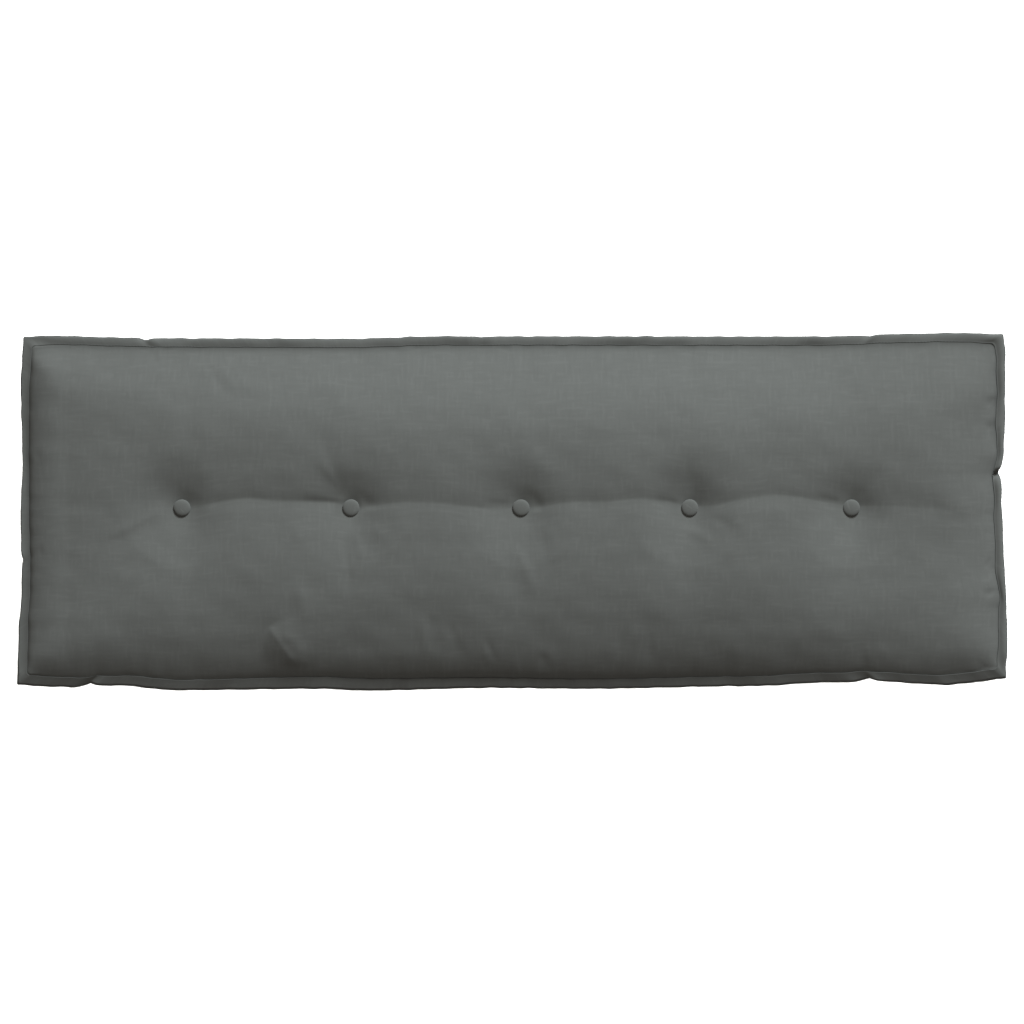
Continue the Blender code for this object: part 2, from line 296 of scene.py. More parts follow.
def make_piece(
    name: str,
    points: Array,
    skin: Skin,
    painted_shade: Array,
    rim: Array | None = None,
) -> Piece:
    """Make a smooth mesh piece with its own cloth coordinates.

    Args:
        name: name of the piece.
        points: one row of x, y, z for each point.
        skin: its faces, outward facing.
        painted_shade: how much shade is painted on each point, 0 on open cloth and more
            in a seam or crease.
        rim: point numbers of a seam that stays a sharp edge, or None.

    Returns:
        The new object, linked into the scene.
    """
    mesh = bpy.data.meshes.new(name)
    mesh.from_pydata(points.tolist(), [], skin.faces)
    mesh.shade_smooth()
    cloth = np.concatenate(skin.cloth).astype(np.float32).ravel()
    mesh.uv_layers.new(name="cloth").data.foreach_set("uv", cloth)
    if rim is not None:
        ends = np.empty(len(mesh.edges) * 2, np.int32)
        mesh.edges.foreach_get("vertices", ends)
        sharp = np.isin(ends, rim).reshape(-1, 2).all(axis=1)
        layer = mesh.attributes.new("sharp_edge", "BOOLEAN", "EDGE")
        layer.data.foreach_set("value", sharp)
    # painted shade: stored on each point for the cloth to darken its colour there
    shade = mesh.attributes.new("painted_seam_shade", "FLOAT", "POINT")
    shade.data.foreach_set("value", painted_shade.astype(np.float32))
    mesh.update()
    return linked(name, mesh)


# ---------------------------------------------------------------- finishes


class Direction(Enum):
    """Which way a set of yarns runs in the cloth."""

    WARP = "warp"
    WEFT = "weft"


def add_node(
    tree: Tree, kind: str, settings: dict[str, object] | None = None, **inputs: object
) -> bpy.types.Node:
    """Add one node, with its settings, its input values and its incoming links.

    Args:
        tree: node tree that gets the node.
        kind: Blender's name for the node's type.
        settings: properties of the node itself.
        **inputs: socket name, or s and a number, to a value or an output socket.

    Returns:
        The new node.
    """
    node = tree.nodes.new(kind)
    for key, value in (settings or {}).items():
        setattr(node, key, value)
    for key, value in inputs.items():
        if key[0] == "s" and key[1:].isdigit():
            socket = node.inputs[int(key[1:])]
        else:
            socket = node.inputs[key.replace("_", " ")]
        if isinstance(value, Socket):
            tree.links.new(value, socket)
        else:
            socket.default_value = value
    return node


def calc(tree: Tree, operation: str, *values: Socket | float) -> Socket:
    """Result of one arithmetic step on some values.

    Args:
        tree: node tree that gets the nodes.
        operation: Blender's name for the step.
        *values: what it works on, in order.

    Returns:
        The result's socket.
    """
    inputs = {f"s{number}": value for number, value in enumerate(values)}
    node = add_node(tree, "ShaderNodeMath", {"operation": operation}, **inputs)
    return node.outputs[0]


def noise(
    tree: Tree, place: Socket, scale: float, detail: float, roughness: float = 0.5
) -> Socket:
    """Soft noise from 0 to 1 at a place.

    Args:
        tree: node tree that gets the nodes.
        place: where the noise is taken.
        scale: how fine it is.
        detail: number of finer layers in it.
        roughness: how strong those are.

    Returns:
        The noise's socket.
    """
    return add_node(
        tree, "ShaderNodeTexNoise", Vector=place, Scale=scale, Detail=detail,
        Roughness=roughness,
    ).outputs["Fac"]


def ramp(tree: Tree, value: Socket, *bands: tuple[float, Colour]) -> Socket:
    """Colour that runs from band to band, each a place on the ramp and its colour.

    Args:
        tree: node tree that gets the nodes.
        value: place on the ramp.
        *bands: each a place on the ramp and its colour.

    Returns:
        The colour's socket.
    """
    node = add_node(tree, "ShaderNodeValToRGB", Fac=value)
    made = node.color_ramp.elements
    made[0].position, made[0].color = bands[0]
    made[1].position, made[1].color = bands[-1]
    for place, colour in bands[1:-1]:
        made.new(place).color = colour
    return node.outputs[0]


def emptied(block: Material | bpy.types.World) -> Tree:
    """Node tree of a new material or world, with no nodes yet.

    Args:
        block: the material or world.

    Returns:
        Its tree.
    """
    block.use_nodes = True
    block.node_tree.nodes.clear()
    return block.node_tree


def shown(tree: Tree, others: Socket, camera: Socket) -> Socket:
    """Show one shader to the camera and another to all other rays.

    Args:
        tree: node tree that gets the nodes.
        others: shader that the other rays see.
        camera: shader that the camera sees.

    Returns:
        The mixed shader's socket.
    """
    seen = add_node(tree, "ShaderNodeLightPath").outputs["Is Camera Ray"]
    mixed = add_node(tree, "ShaderNodeMixShader", s0=seen, s1=others, s2=camera)
    return mixed.outputs[0]


@dataclass(frozen=True)
class MelangeCloth:
    """Plain-woven polyester in mixed dark and light grey yarn, piece-washed and matt.

    The mixed yarn gives the eye a soft grey with short paler and darker slubs along
    both directions of the weave, and the brushed surface has almost no gloss.
    """

    name: str
    base_hex: str = "676966"
    pale_hex: str = "696b68"
    dark_hex: str = "656764"
    slub_length_mm: float = 11.0
    slub_width_mm: float = 2.0
    thread_mm: float = 1.1      # real ones are 0.6 mm; drawn coarser so that they show
    cloud_mm: float = 38.0
    cloud_share: float = 0.22
    fleck_mm: float = 3.0
    fleck_share: float = 0.25
    mean: float = 1.335         # of the sum of slubs, flecks and clouds
    contrast: float = 1.15
    roughness: float = 0.92
    sheen: float = 0.18
    sheen_roughness: float = 0.45
    specular: float = 0.22
    bump: float = 0.55
    bump_mm: float = 0.022
    thread_share: float = 0.06  # of the relief; the slubs make the rest
    # painted shade: how much darker the cloth is painted where a seam or crease lies in
    # shadow
    painted_shade_strength: float = 0.12

    def yarn(self, tree: Tree, cloth: Socket, way: Direction) -> Socket:
        """Slubs that run one way in the cloth.

        Args:
            tree: the material's node tree.
            cloth: cloth coordinates in metres.
            way: whether the slubs run along the warp or the weft.

        Returns:
            A socket with about 0.5 on plain yarn, less on a dark slub and more on a
            pale one.
        """
        across, along = 1 / (self.slub_width_mm * MM), 1 / (self.slub_length_mm * MM)
        if way is Direction.WARP:
            scale, shift = (across, along, 1.0), (0.0, 0.0, 3.7)
        else:
            scale, shift = (along, across, 1.0), (5.3, 2.1, 9.4)
        placed = add_node(
            tree, "ShaderNodeMapping", Vector=cloth, Scale=scale, Location=shift
        )
        slub = noise(tree, placed.outputs[0], 0.55, 1.0, 0.35)
        levels = ((0.28, 0.0), (0.38, 0.42), (0.62, 0.58), (0.72, 1.0))
        return ramp(tree, slub, *((place, (c, c, c, 1.0)) for place, c in levels))

    def relief(self, tree: Tree, cloth: Socket, mixed: Socket) -> Socket:
        """Height of the weave: crossing threads, with the slubs standing proud.

        Args:
            tree: the material's node tree.
            cloth: cloth coordinates in metres.
            mixed: how pale the yarn is.

        Returns:
            The height's socket.
        """
        turns = math.tau / (2 * self.thread_mm * MM)
        place = add_node(tree, "ShaderNodeSeparateXYZ", Vector=cloth).outputs
        waves = [
            calc(tree, "SINE", calc(tree, "MULTIPLY", place[axis], turns))
            for axis in (0, 1)
        ]
        crossing = calc(tree, "MULTIPLY", *waves)
        return calc(tree, "MULTIPLY_ADD", crossing, self.thread_share, mixed)

    def build(self) -> Material:
        """Build the cloth: mixed yarn, with painted shade where it lies in seams and
        creases, in woven relief.

        Returns:
            The new material.
        """
        material = bpy.data.materials.new(self.name)
        tree = emptied(material)
        uv = add_node(tree, "ShaderNodeUVMap", {"uv_map": "cloth"}).outputs[0]
        mixed = calc(tree, "ADD", *(self.yarn(tree, uv, way) for way in Direction))
        cloud = noise(tree, uv, 1 / (self.cloud_mm * MM), 3.0, 0.55)
        fleck = noise(tree, uv, 1 / (self.fleck_mm * MM), 0.0)
        mixed = calc(tree, "MULTIPLY_ADD", fleck, self.fleck_share, mixed)
        mixed = calc(tree, "MULTIPLY_ADD", cloud, self.cloud_share, mixed)
        shift = 0.5 - self.mean * self.contrast
        colour = ramp(
            tree,
            calc(tree, "MULTIPLY_ADD", mixed, self.contrast, shift),
            (0.12, linear(self.dark_hex)),
            (0.5, linear(self.base_hex)),
            (0.88, linear(self.pale_hex)),
        )
        # painted shade: darken the colour by the shade painted on each point at seams
        # and creases
        painted_shade = add_node(tree, "ShaderNodeAttribute", {"attribute_name": "painted_seam_shade"})
        darker = calc(
            tree, "MULTIPLY_ADD", painted_shade.outputs["Fac"], -self.painted_shade_strength, 1.0
        )
        kind = {"data_type": "RGBA", "blend_type": "MULTIPLY"}
        colour = add_node(tree, "ShaderNodeMix", kind, s0=1.0, s6=colour, s7=darker)
        bump = add_node(
            tree,
            "ShaderNodeBump",
            Strength=self.bump,
            Distance=self.bump_mm * MM,
            Height=self.relief(tree, uv, mixed),
        )
        shader = add_node(
            tree,
            "ShaderNodeBsdfPrincipled",
            Base_Color=colour.outputs[2],
            Roughness=self.roughness,
            Specular_IOR_Level=self.specular,
            Sheen_Weight=self.sheen,
            Sheen_Roughness=self.sheen_roughness,
            Normal=bump.outputs[0],
        )
        add_node(tree, "ShaderNodeOutputMaterial", Surface=shader.outputs[0])
        return material


@dataclass(frozen=True)
class SewingThread:
    """Spun polyester sewing thread, dyed a little darker than the cloth."""

    name: str = "spun_polyester_thread"
    colour_hex: str = "5e605d"
    shades: Pair = (0.75, 1.2)  # darkest and palest, as shares of the colour
    twist_mm: float = 0.5
    roughness: float = 0.8
    specular: float = 0.3

    def build(self) -> Material:
        """Build the thread, with the shade and the relief of its twist.

        Returns:
            The new material.
        """
        material = bpy.data.materials.new(self.name)
        tree = emptied(material)
        place = add_node(tree, "ShaderNodeTexCoord").outputs["Object"]
        twist = noise(tree, place, 1 / (self.twist_mm * MM), 1.0)
        dark, pale = (
            (*(share * part for part in linear(self.colour_hex)[:3]), 1.0)
            for share in self.shades
        )
        bump = add_node(
            tree, "ShaderNodeBump", Strength=0.4, Distance=0.1 * MM, Height=twist
        )
        shader = add_node(
            tree,
            "ShaderNodeBsdfPrincipled",
            Base_Color=ramp(tree, twist, (0.3, dark), (0.7, pale)),
            Roughness=self.roughness,
            Specular_IOR_Level=self.specular,
            Normal=bump.outputs[0],
        )
        add_node(tree, "ShaderNodeOutputMaterial", Surface=shader.outputs[0])
        return material


@dataclass(frozen=True)
class StudioFloor:
    """Matt white studio board, plain and pale."""

    name: str = "matt_white_board"
    colour_hex: str = "f2f2f0"
    bounce_hex: str = "303030"      # it throws little light back up at the cushion
    roughness: float = 0.9
    specular: float = 0.1

    def build(self) -> Material:
        """Build the board, pale to the camera and dim to the cushion.

        Returns:
            The new material.
        """
        material = bpy.data.materials.new(self.name)
        tree = emptied(material)
        board = add_node(
            tree,
            "ShaderNodeBsdfPrincipled",
            Base_Color=linear(self.colour_hex),
            Roughness=self.roughness,
            Specular_IOR_Level=self.specular,
        )
        dim = add_node(tree, "ShaderNodeBsdfDiffuse", Color=linear(self.bounce_hex))
        both = shown(tree, dim.outputs[0], board.outputs[0])
        add_node(tree, "ShaderNodeOutputMaterial", Surface=both)
        return material


# ---------------------------------------------------------------- plan of the seams


@dataclass(frozen=True)
class Notch:
    """A short nick where the flange is drawn in and kinks."""

    side: str
    place_mm: float
    depth_mm: float
    reach_mm: float
    kink_mm: float = 0.0
    dip_mm: float = 0.0


# Millimetres: places along each edge, and how far out of the straight it lies there.
EDGE_STRAY: dict[str, tuple[Pair, ...]] = {
    "top": (
        (-550, 1), (-500, 2), (-430, 0.2), (-350, -0.8), (-180, -1.2), (-80, 1.5),
        (340, 1.3), (430, 4.2), (480, 5.2), (550, 3.6),
    ),
    "bottom": (
        (-550, -2.6), (-480, 0.2), (-430, -1.8), (-365, 3.6), (-210, 2), (-160, 4),
        (-20, 1), (80, 2), (260, -1), (345, -5), (400, -6), (470, -2.5), (550, -10),
    ),
    "left": (
        (-175, 3), (-130, 2), (-80, -1.5), (0, -0.5), (50, -2.5), (130, -0.5),
        (190, -3.5),
    ),
    "right": (
        (-175, 2.2), (-140, 4), (-104, 2.8), (-70, 1.2), (-37, -0.6), (13, -2.5),
        (40, -2.5), (63, -0.5), (96, 1.2), (140, 1.2), (163, 1.5), (190, -1.5),
    ),
}

NOTCHES: tuple[Notch, ...] = tuple(Notch(*row) for row in (
    ("top", -400, 3.2, 5, 1.5), ("top", -33, 1.6, 5, 0.8), ("top", 391, 1.8, 5, 1.2),
    ("bottom", -459, 4.5, 6, 1.5), ("bottom", 389, 4.0, 8, 1.2),
    ("left", -50, 2.0, 6, 1.0), ("right", 42, 4.4, 5, 2.0, 5.5),
))

# Short stretches where the filled panel swells out over its flange, or falls short
FULLER: tuple[Notch, ...] = tuple(Notch(*row) for row in (
    ("right", 130, 1.3, 12), ("right", 98, -1.2, 9), ("right", 66, 2.6, 20),
    ("right", 12, 2.2, 12), ("right", -32, 1.0, 16), ("right", -62, -0.8, 8),
    ("right", -94, 3.0, 15), ("left", 62, 2.4, 42), ("left", -150, -1.4, 40),
    ("bottom", -200, -2.6, 150),
))


@dataclass(frozen=True)
class SeamPlan:
    """Plan of the two seams, shared by the cover and the flanges."""

    half_x: float
    half_y: float
    corner: float = 0.0045
    waver: float = 0.00018

    def stray(self, side: str, place: Array, notch_share: float) -> Array:
        """How far out of the straight one edge lies.

        Args:
            side: top, bottom, left or right.
            place: positions along that edge.
            notch_share: how much of each nick shows, from 0 to 1.

        Returns:
            Distances out, in metres.
        """
        at, out = np.array(EDGE_STRAY[side]).T * MM
        value = through(at, out, place)
        for notch in NOTCHES:
            if notch.side == side:
                away = np.abs(place - notch.place_mm * MM) / (notch.reach_mm * MM)
                value = value - notch_share * notch.depth_mm * MM * np.exp(-(away**1.5))
        for fuller in FULLER:
            if fuller.side == side:
                over = bell(place - fuller.place_mm * MM, fuller.reach_mm * MM)
                shows = (1 - notch_share) / (1 - AT_SEAM)
                value = value + shows * fuller.depth_mm * MM * over
        return value

    def place(
        self,
        u: Array,
        v: Array,
        out: Array | float = 0.0,
        corner: Array | float | None = None,
        notch_share: float = AT_SEAM,
    ) -> tuple[Array, Array]:
        """Plan position of cloth points.

        Args:
            u: cloth position along the length.
            v: cloth position up the height.
            out: how far the seam is moved outwards.
            corner: corner radius, or None for the seam's own.
            notch_share: how much of each nick shows.

        Returns:
            x and y of each point.
        """
        radius = self.corner if corner is None else corner
        half_x, half_y = self.half_x + out, self.half_y + out
        x, y = u * half_x / self.half_x, v * half_y / self.half_y
        past_x = np.maximum(np.abs(x) - (half_x - radius), 0.0)
        past_y = np.maximum(np.abs(y) - (half_y - radius), 0.0)
        both = (past_x > 0) & (past_y > 0)
        length = np.where(both, np.hypot(past_x, past_y), 1.0)
        shrink = np.where(both, np.maximum(past_x, past_y) / length, 1.0)
        x = np.where(both, np.sign(x) * (half_x - radius + past_x * shrink), x)
        y = np.where(both, np.sign(y) * (half_y - radius + past_y * shrink), y)
        across, up = u / self.half_x, v / self.half_y
        right, left, top, bottom = (
            self.stray(side, place, notch_share)
            for side, place in (("right", v), ("left", v), ("top", u), ("bottom", u))
        )
        stray_x, stray_y = np.where(u > 0, right, left), np.where(v > 0, top, bottom)
        x = x + (stray_x + self.unevenness(v, 3)) * across * np.abs(across) ** 3
        y = y + (stray_y + self.unevenness(u, 8)) * up * np.abs(up) ** 3
        return x, y

    def unevenness(self, along: Array, seed: int) -> Array:
        """Small waver of a hand-guided seam.

        Args:
            along: positions along the seam.
            seed: which pattern to make.

        Returns:
            Distances out, in metres.
        """
        return self.waver * (
            np.sin(along * 173 + seed) + 0.7 * np.sin(along * 311 + 2.3 * seed)
        )

    def walk(self, columns: Array, rows: Array) -> tuple[Array, ...]:
        """Go once round the seam, anticlockwise from its low left corner.

        Args:
            columns: cloth positions along the length.
            rows: cloth positions up the height.

        Returns:
            u and v of each point, and the distance walked to each, up to and with the
            first one again.
        """
        column, row = rim_of(len(columns), len(rows))
        u, v = columns[column], rows[row]
        step = np.hypot(np.diff(u, append=u[0]), np.diff(v, append=v[0]))
        return u, v, np.append(0.0, np.cumsum(step))

    def insets(self, u: Array, v: Array) -> tuple[Array, Array]:
        """Distance in from the end seams, and from the upper and lower ones."""
        return self.half_x - np.abs(u), self.half_y - np.abs(v)

    def inset(self, u: Array, v: Array) -> Array:
        """Distance in from the nearest seam."""
        return np.minimum(*self.insets(u, v))


# ---------------------------------------------------------------- padded cover


@dataclass(frozen=True)
class Fold:
    """A crease or ridge in the front face, between two places.

    A depth below zero is a ridge. The fold is widest at its end, and lean pushes its
    steep side over: 0 is even, 1 is steep on the left of its run.
    """

    from_x: float
    from_y: float
    to_x: float
    to_y: float
    depth: float
    start_width: float
    end_width: float
    lean: float = 0.0
    bow: float = 0.0


# Millimetres. Columns: from x, from y, to x, to y, depth, start width, end width,
# lean, bow.
FOLDS: tuple[Fold, ...] = tuple(Fold(*row) for row in (
    # Round the first button
    (-396, -8, -460, -40, 0.9, 5, 8, -0.4, 3),
    (-392, -2, -452, -28, -0.5, 6, 9, 0.0, 3),
    # Round the second button
    (-188, 14, -232, 58, 1.1, 6, 10, -0.4, -3),
    (-184, 16, -212, 92, 0.6, 5, 10, 0.3, 2),
    (-174, -24, -160, -58, -0.7, 5, 9, 0.0, -2),
    (-184, -36, -180, -98, 0.45, 4, 6, 0.3, 2), (-152, -16, -124, -46, -0.5, 5, 10),
    (-190, 9, -240, 11, 1.4, 6, 10, -0.6), (-168, 5, -146, 9, 0.8, 4, 5, -0.4),
    (-168, 10, -134, 14, 0.8, 6, 10, -0.4),
    # Round the middle button
    (0, 8, -34, 8, 0.9, 5, 8, -0.6), (18, 9, 48, 13, 0.7, 6, 10, -0.4),
    (16, 4, 38, 7, 0.8, 4, 5, -0.4), (6, -42, 24, -96, -0.8, 6, 8, 0.0, 3),
    (-6, -46, 2, -92, 0.3, 5, 8), (34, -30, 50, -76, 0.4, 4, 8, 0.2, -2),
    (34, -14, 62, -54, -0.4, 5, 10),
    # Round the fourth button
    (200, 18, 194, 82, 0.3, 9, 12, 0.0, 2), (190, -16, 232, -44, -0.7, 5, 9, 0.0, 2),
    (222, -6, 252, -30, 0.5, 5, 8, 0.2, 3), (184, 9, 150, 13, 1.0, 5, 9, -0.6),
    # Round the last button
    (364, 10, 330, 15, 1.1, 5, 9, -0.6), (386, 16, 410, 58, 0.6, 5, 12),
    # Drawn up from the lower seam
    (-238, -76, -226, -130, -0.8, 7, 10), (-252, -134, -224, -164, -0.9, 7, 9),
    (-92, -114, -78, -162, 0.5, 5, 11, 0.0, 2), (-102, -116, -94, -162, -0.5, 4, 7),
    (-70, -124, -52, -168, 0.7, 6, 10, 0.2), (-36, -140, -22, -174, -0.4, 4, 5),
    (-28, -142, -14, -174, 0.4, 4, 6, 0.3), (34, -158, 38, -182, 0.9, 4, 8),
    (122, -130, 118, -170, 0.4, 4, 6), (138, -128, 136, -172, -0.3, 4, 6),
    (152, -126, 154, -172, 0.5, 4, 6, 0.3), (412, -150, 416, -178, -0.6, 5, 8),
    # Under the upper seam
    (-400, 184, -391, 160, 1.8, 2.5, 4, 0.4), (-326, 168, -300, 126, -0.8, 4, 6),
    (-338, 166, -312, 122, 0.6, 3, 5, 0.5), (-316, 170, -286, 128, -0.5, 4, 6),
    (310, 182, 304, 160, 0.6, 4, 7), (476, 184, 470, 164, 0.8, 4, 6),
    # Beside the right seam
    (537, 126, 526, 117, 1.8, 2.5, 4, 0.3), (538, 97, 524, 91, 2.6, 3, 4, 0.3),
    (538, 84, 522, 88, 1.2, 2.5, 4, 0.3), (532, -52, 525, -63, 1.6, 2.2, 3, 0.3),
    (538, -70, 518, -84, -0.7, 3, 6), (538, -86, 524, -94, 2.2, 3, 4, 0.3),
    (534, 40, 516, 30, 0.9, 3, 7),
    # Along the left seam
    (-534, 66, -520, 60, 0.9, 4, 7), (-534, -46, -518, -40, 0.9, 4, 7),
    # At the foot of the first pleat
    (-251, -163, -222, -168, -1.3, 7, 8),
))


@dataclass(frozen=True)
class CreasePoint:
    """One place on the crease along the button row, and how sharp it is there."""

    x_mm: float
    y_mm: float
    depth_mm: float


CREASE: tuple[CreasePoint, ...] = tuple(CreasePoint(*row) for row in (
    (-560, 2, 0.0), (-440, 3, 0.4), (-385, 5, 2.0), (-345, 7, 6.4), (-321, 12, 7.6),
    (-294, 15.2, 7.8), (-254, 12.2, 7.8), (-201, 11, 8.4), (-178, 6.8, 8.2),
    (-162, 4.4, 7.4), (-144, 8.2, 6.6), (-120, 11.2, 5.8), (-82, 9.8, 5.2),
    (-55, 6.8, 6.0), (-29, 3.6, 7.2), (10, 4.5, 7.0), (30, 5.2, 7.0), (48, 9.2, 6.6),
    (66, 11.0, 6.0), (104, 11.2, 5.2), (141, 15.2, 5.6), (172, 10.8, 6.6),
    (196, 6, 7.0), (225, 7.2, 6.4), (252, 14.2, 5.8), (290, 19.4, 5.8),
    (318, 16.4, 6.4), (345, 10.5, 6.6), (376, 6, 6.6), (418, 6.4, 4.6), (462, 5, 1.8),
    (500, 2, 0.6), (560, 0, 0.0),
))


@dataclass(frozen=True)
class Pinch:
    """A three-cornered pleat drawn up above a seam, in millimetres.

    The cloth rises in a plane from its left side to the ridge along its right side,
    and drops away beyond the ridge.
    """

    top: Pair
    left: Pair
    right: Pair
    slope: float
    soft: float
    beyond: float
    widest: float
    onset: float = 3.0      # it rises within this of its top
    crest: float = 14.0     # and is up to twice as steep this close to it
    crest_drop: float = 7.0     # where it drops away over this


PINCHES: tuple[Pinch, ...] = (
    Pinch((-269, -127), (-291, -176), (-239, -171), 0.115, 2.0, 26.0, 30.0),
    Pinch((392, -146), (384, -184), (400, -184), 0.12, 1.5, 6.0, 8.0),
)


@dataclass(frozen=True)
class ClothPass:
    """A short cloth simulation of the front face, held where it is sewn or tied down.

    The full form comes from the cover's own measures. This adds the small slack of
    filled cloth between its seams, its crease and its buttons.
    """

    frames: int = 16
    pressure: float = 3.0
    growth: float = 0.006
    stiffness: float = 12.0
    bending: float = 0.4
    mass: float = 0.3
    quality: int = 5
    most: float = 0.0012            # no point gains or loses more height than this
    broad: int = 6                  # coarse lines over which a swelling is left out
    kept: float = 0.5               # share of the slack left once the filling settles

    def soften(self, values: Array, times: int) -> Array:
        """Even a grid of values out with its neighbours, a number of times.

        Args:
            values: the grid.
            times: how often.

        Returns:
            The softer grid.
        """
        for _ in range(times):
            for axis in (0, 1):
                edge = np.concatenate(
                    [values.take([0], axis), values, values.take([-1], axis)], axis
                )
                ahead = edge.take(range(2, edge.shape[axis]), axis)
                behind = edge.take(range(edge.shape[axis] - 2), axis)
                values = 0.5 * values + 0.25 * (ahead + behind)
        return values

    def simulate(self, points: Array, held: Array) -> Array:
        """Step the cloth and read how far its points have risen.

        Args:
            points: a grid of places on the cloth.
            held: how firmly each is held, from 0 to 1.

        Returns:
            The gain in height of each point.
        """
        mesh = bpy.data.meshes.new("settling")
        cells = quads(*held.shape).tolist()
        mesh.from_pydata(points.reshape(-1, 3).tolist(), [], cells)
        piece = linked("settling", mesh)
        group = piece.vertex_groups.new(name="held")
        for index, weight in enumerate(held.ravel().tolist()):
            group.add([index], weight, "REPLACE")
        cloth = piece.modifiers.new("cloth", "CLOTH")
        setting = cloth.settings
        setting.vertex_group_mass = "held"
        setting.quality = self.quality
        setting.mass = self.mass
        for pull in ("tension", "compression"):
            setattr(setting, f"{pull}_stiffness", self.stiffness)
        setting.shear_stiffness = self.stiffness / 3
        setting.bending_stiffness = self.bending
        setting.use_pressure = True
        setting.uniform_pressure_force = self.pressure
        setting.shrink_min = -self.growth
        setting.effector_weights.gravity = 0.0
        cloth.collision_settings.use_collision = False
        cloth.point_cache.frame_start = 1
        cloth.point_cache.frame_end = self.frames
        for frame in range(1, self.frames + 1):
            bpy.context.scene.frame_set(frame)
        graph = bpy.context.evaluated_depsgraph_get()
        moved = np.empty(held.size * 3, np.float32)
        piece.evaluated_get(graph).data.vertices.foreach_get("co", moved)
        bpy.context.scene.frame_set(1)
        bpy.data.objects.remove(piece)
        bpy.data.meshes.remove(mesh)
        return moved.reshape(points.shape)[..., 2] - points[..., 2]

    def gain(self, points: Array, held: Array) -> Array:
        """Height that each point of the fine grid gains.

        Args:
            points: the fine grid, with three lines to each line that is simulated.
            held: how firmly each point is held, from 0 to 1.

        Returns:
            Gains in metres, of the same grid.
        """
        held = held[::FINE, ::FINE]
        risen = self.simulate(points[::FINE, ::FINE], held)
        local = self.soften(risen, 3) - self.soften(risen, self.broad**2)
        local = local * (1 - held)
        local = self.most * np.tanh(self.kept * local / self.most)
        LOG.info("cloth pass: %.2f mm at most", float(np.abs(local).max()) / MM)
        for count in points.shape[:2]:
            fine, known = np.arange(count) / FINE, np.arange(len(local))
            local = np.stack([np.interp(fine, known, line) for line in local.T])
        return self.soften(local, 4)


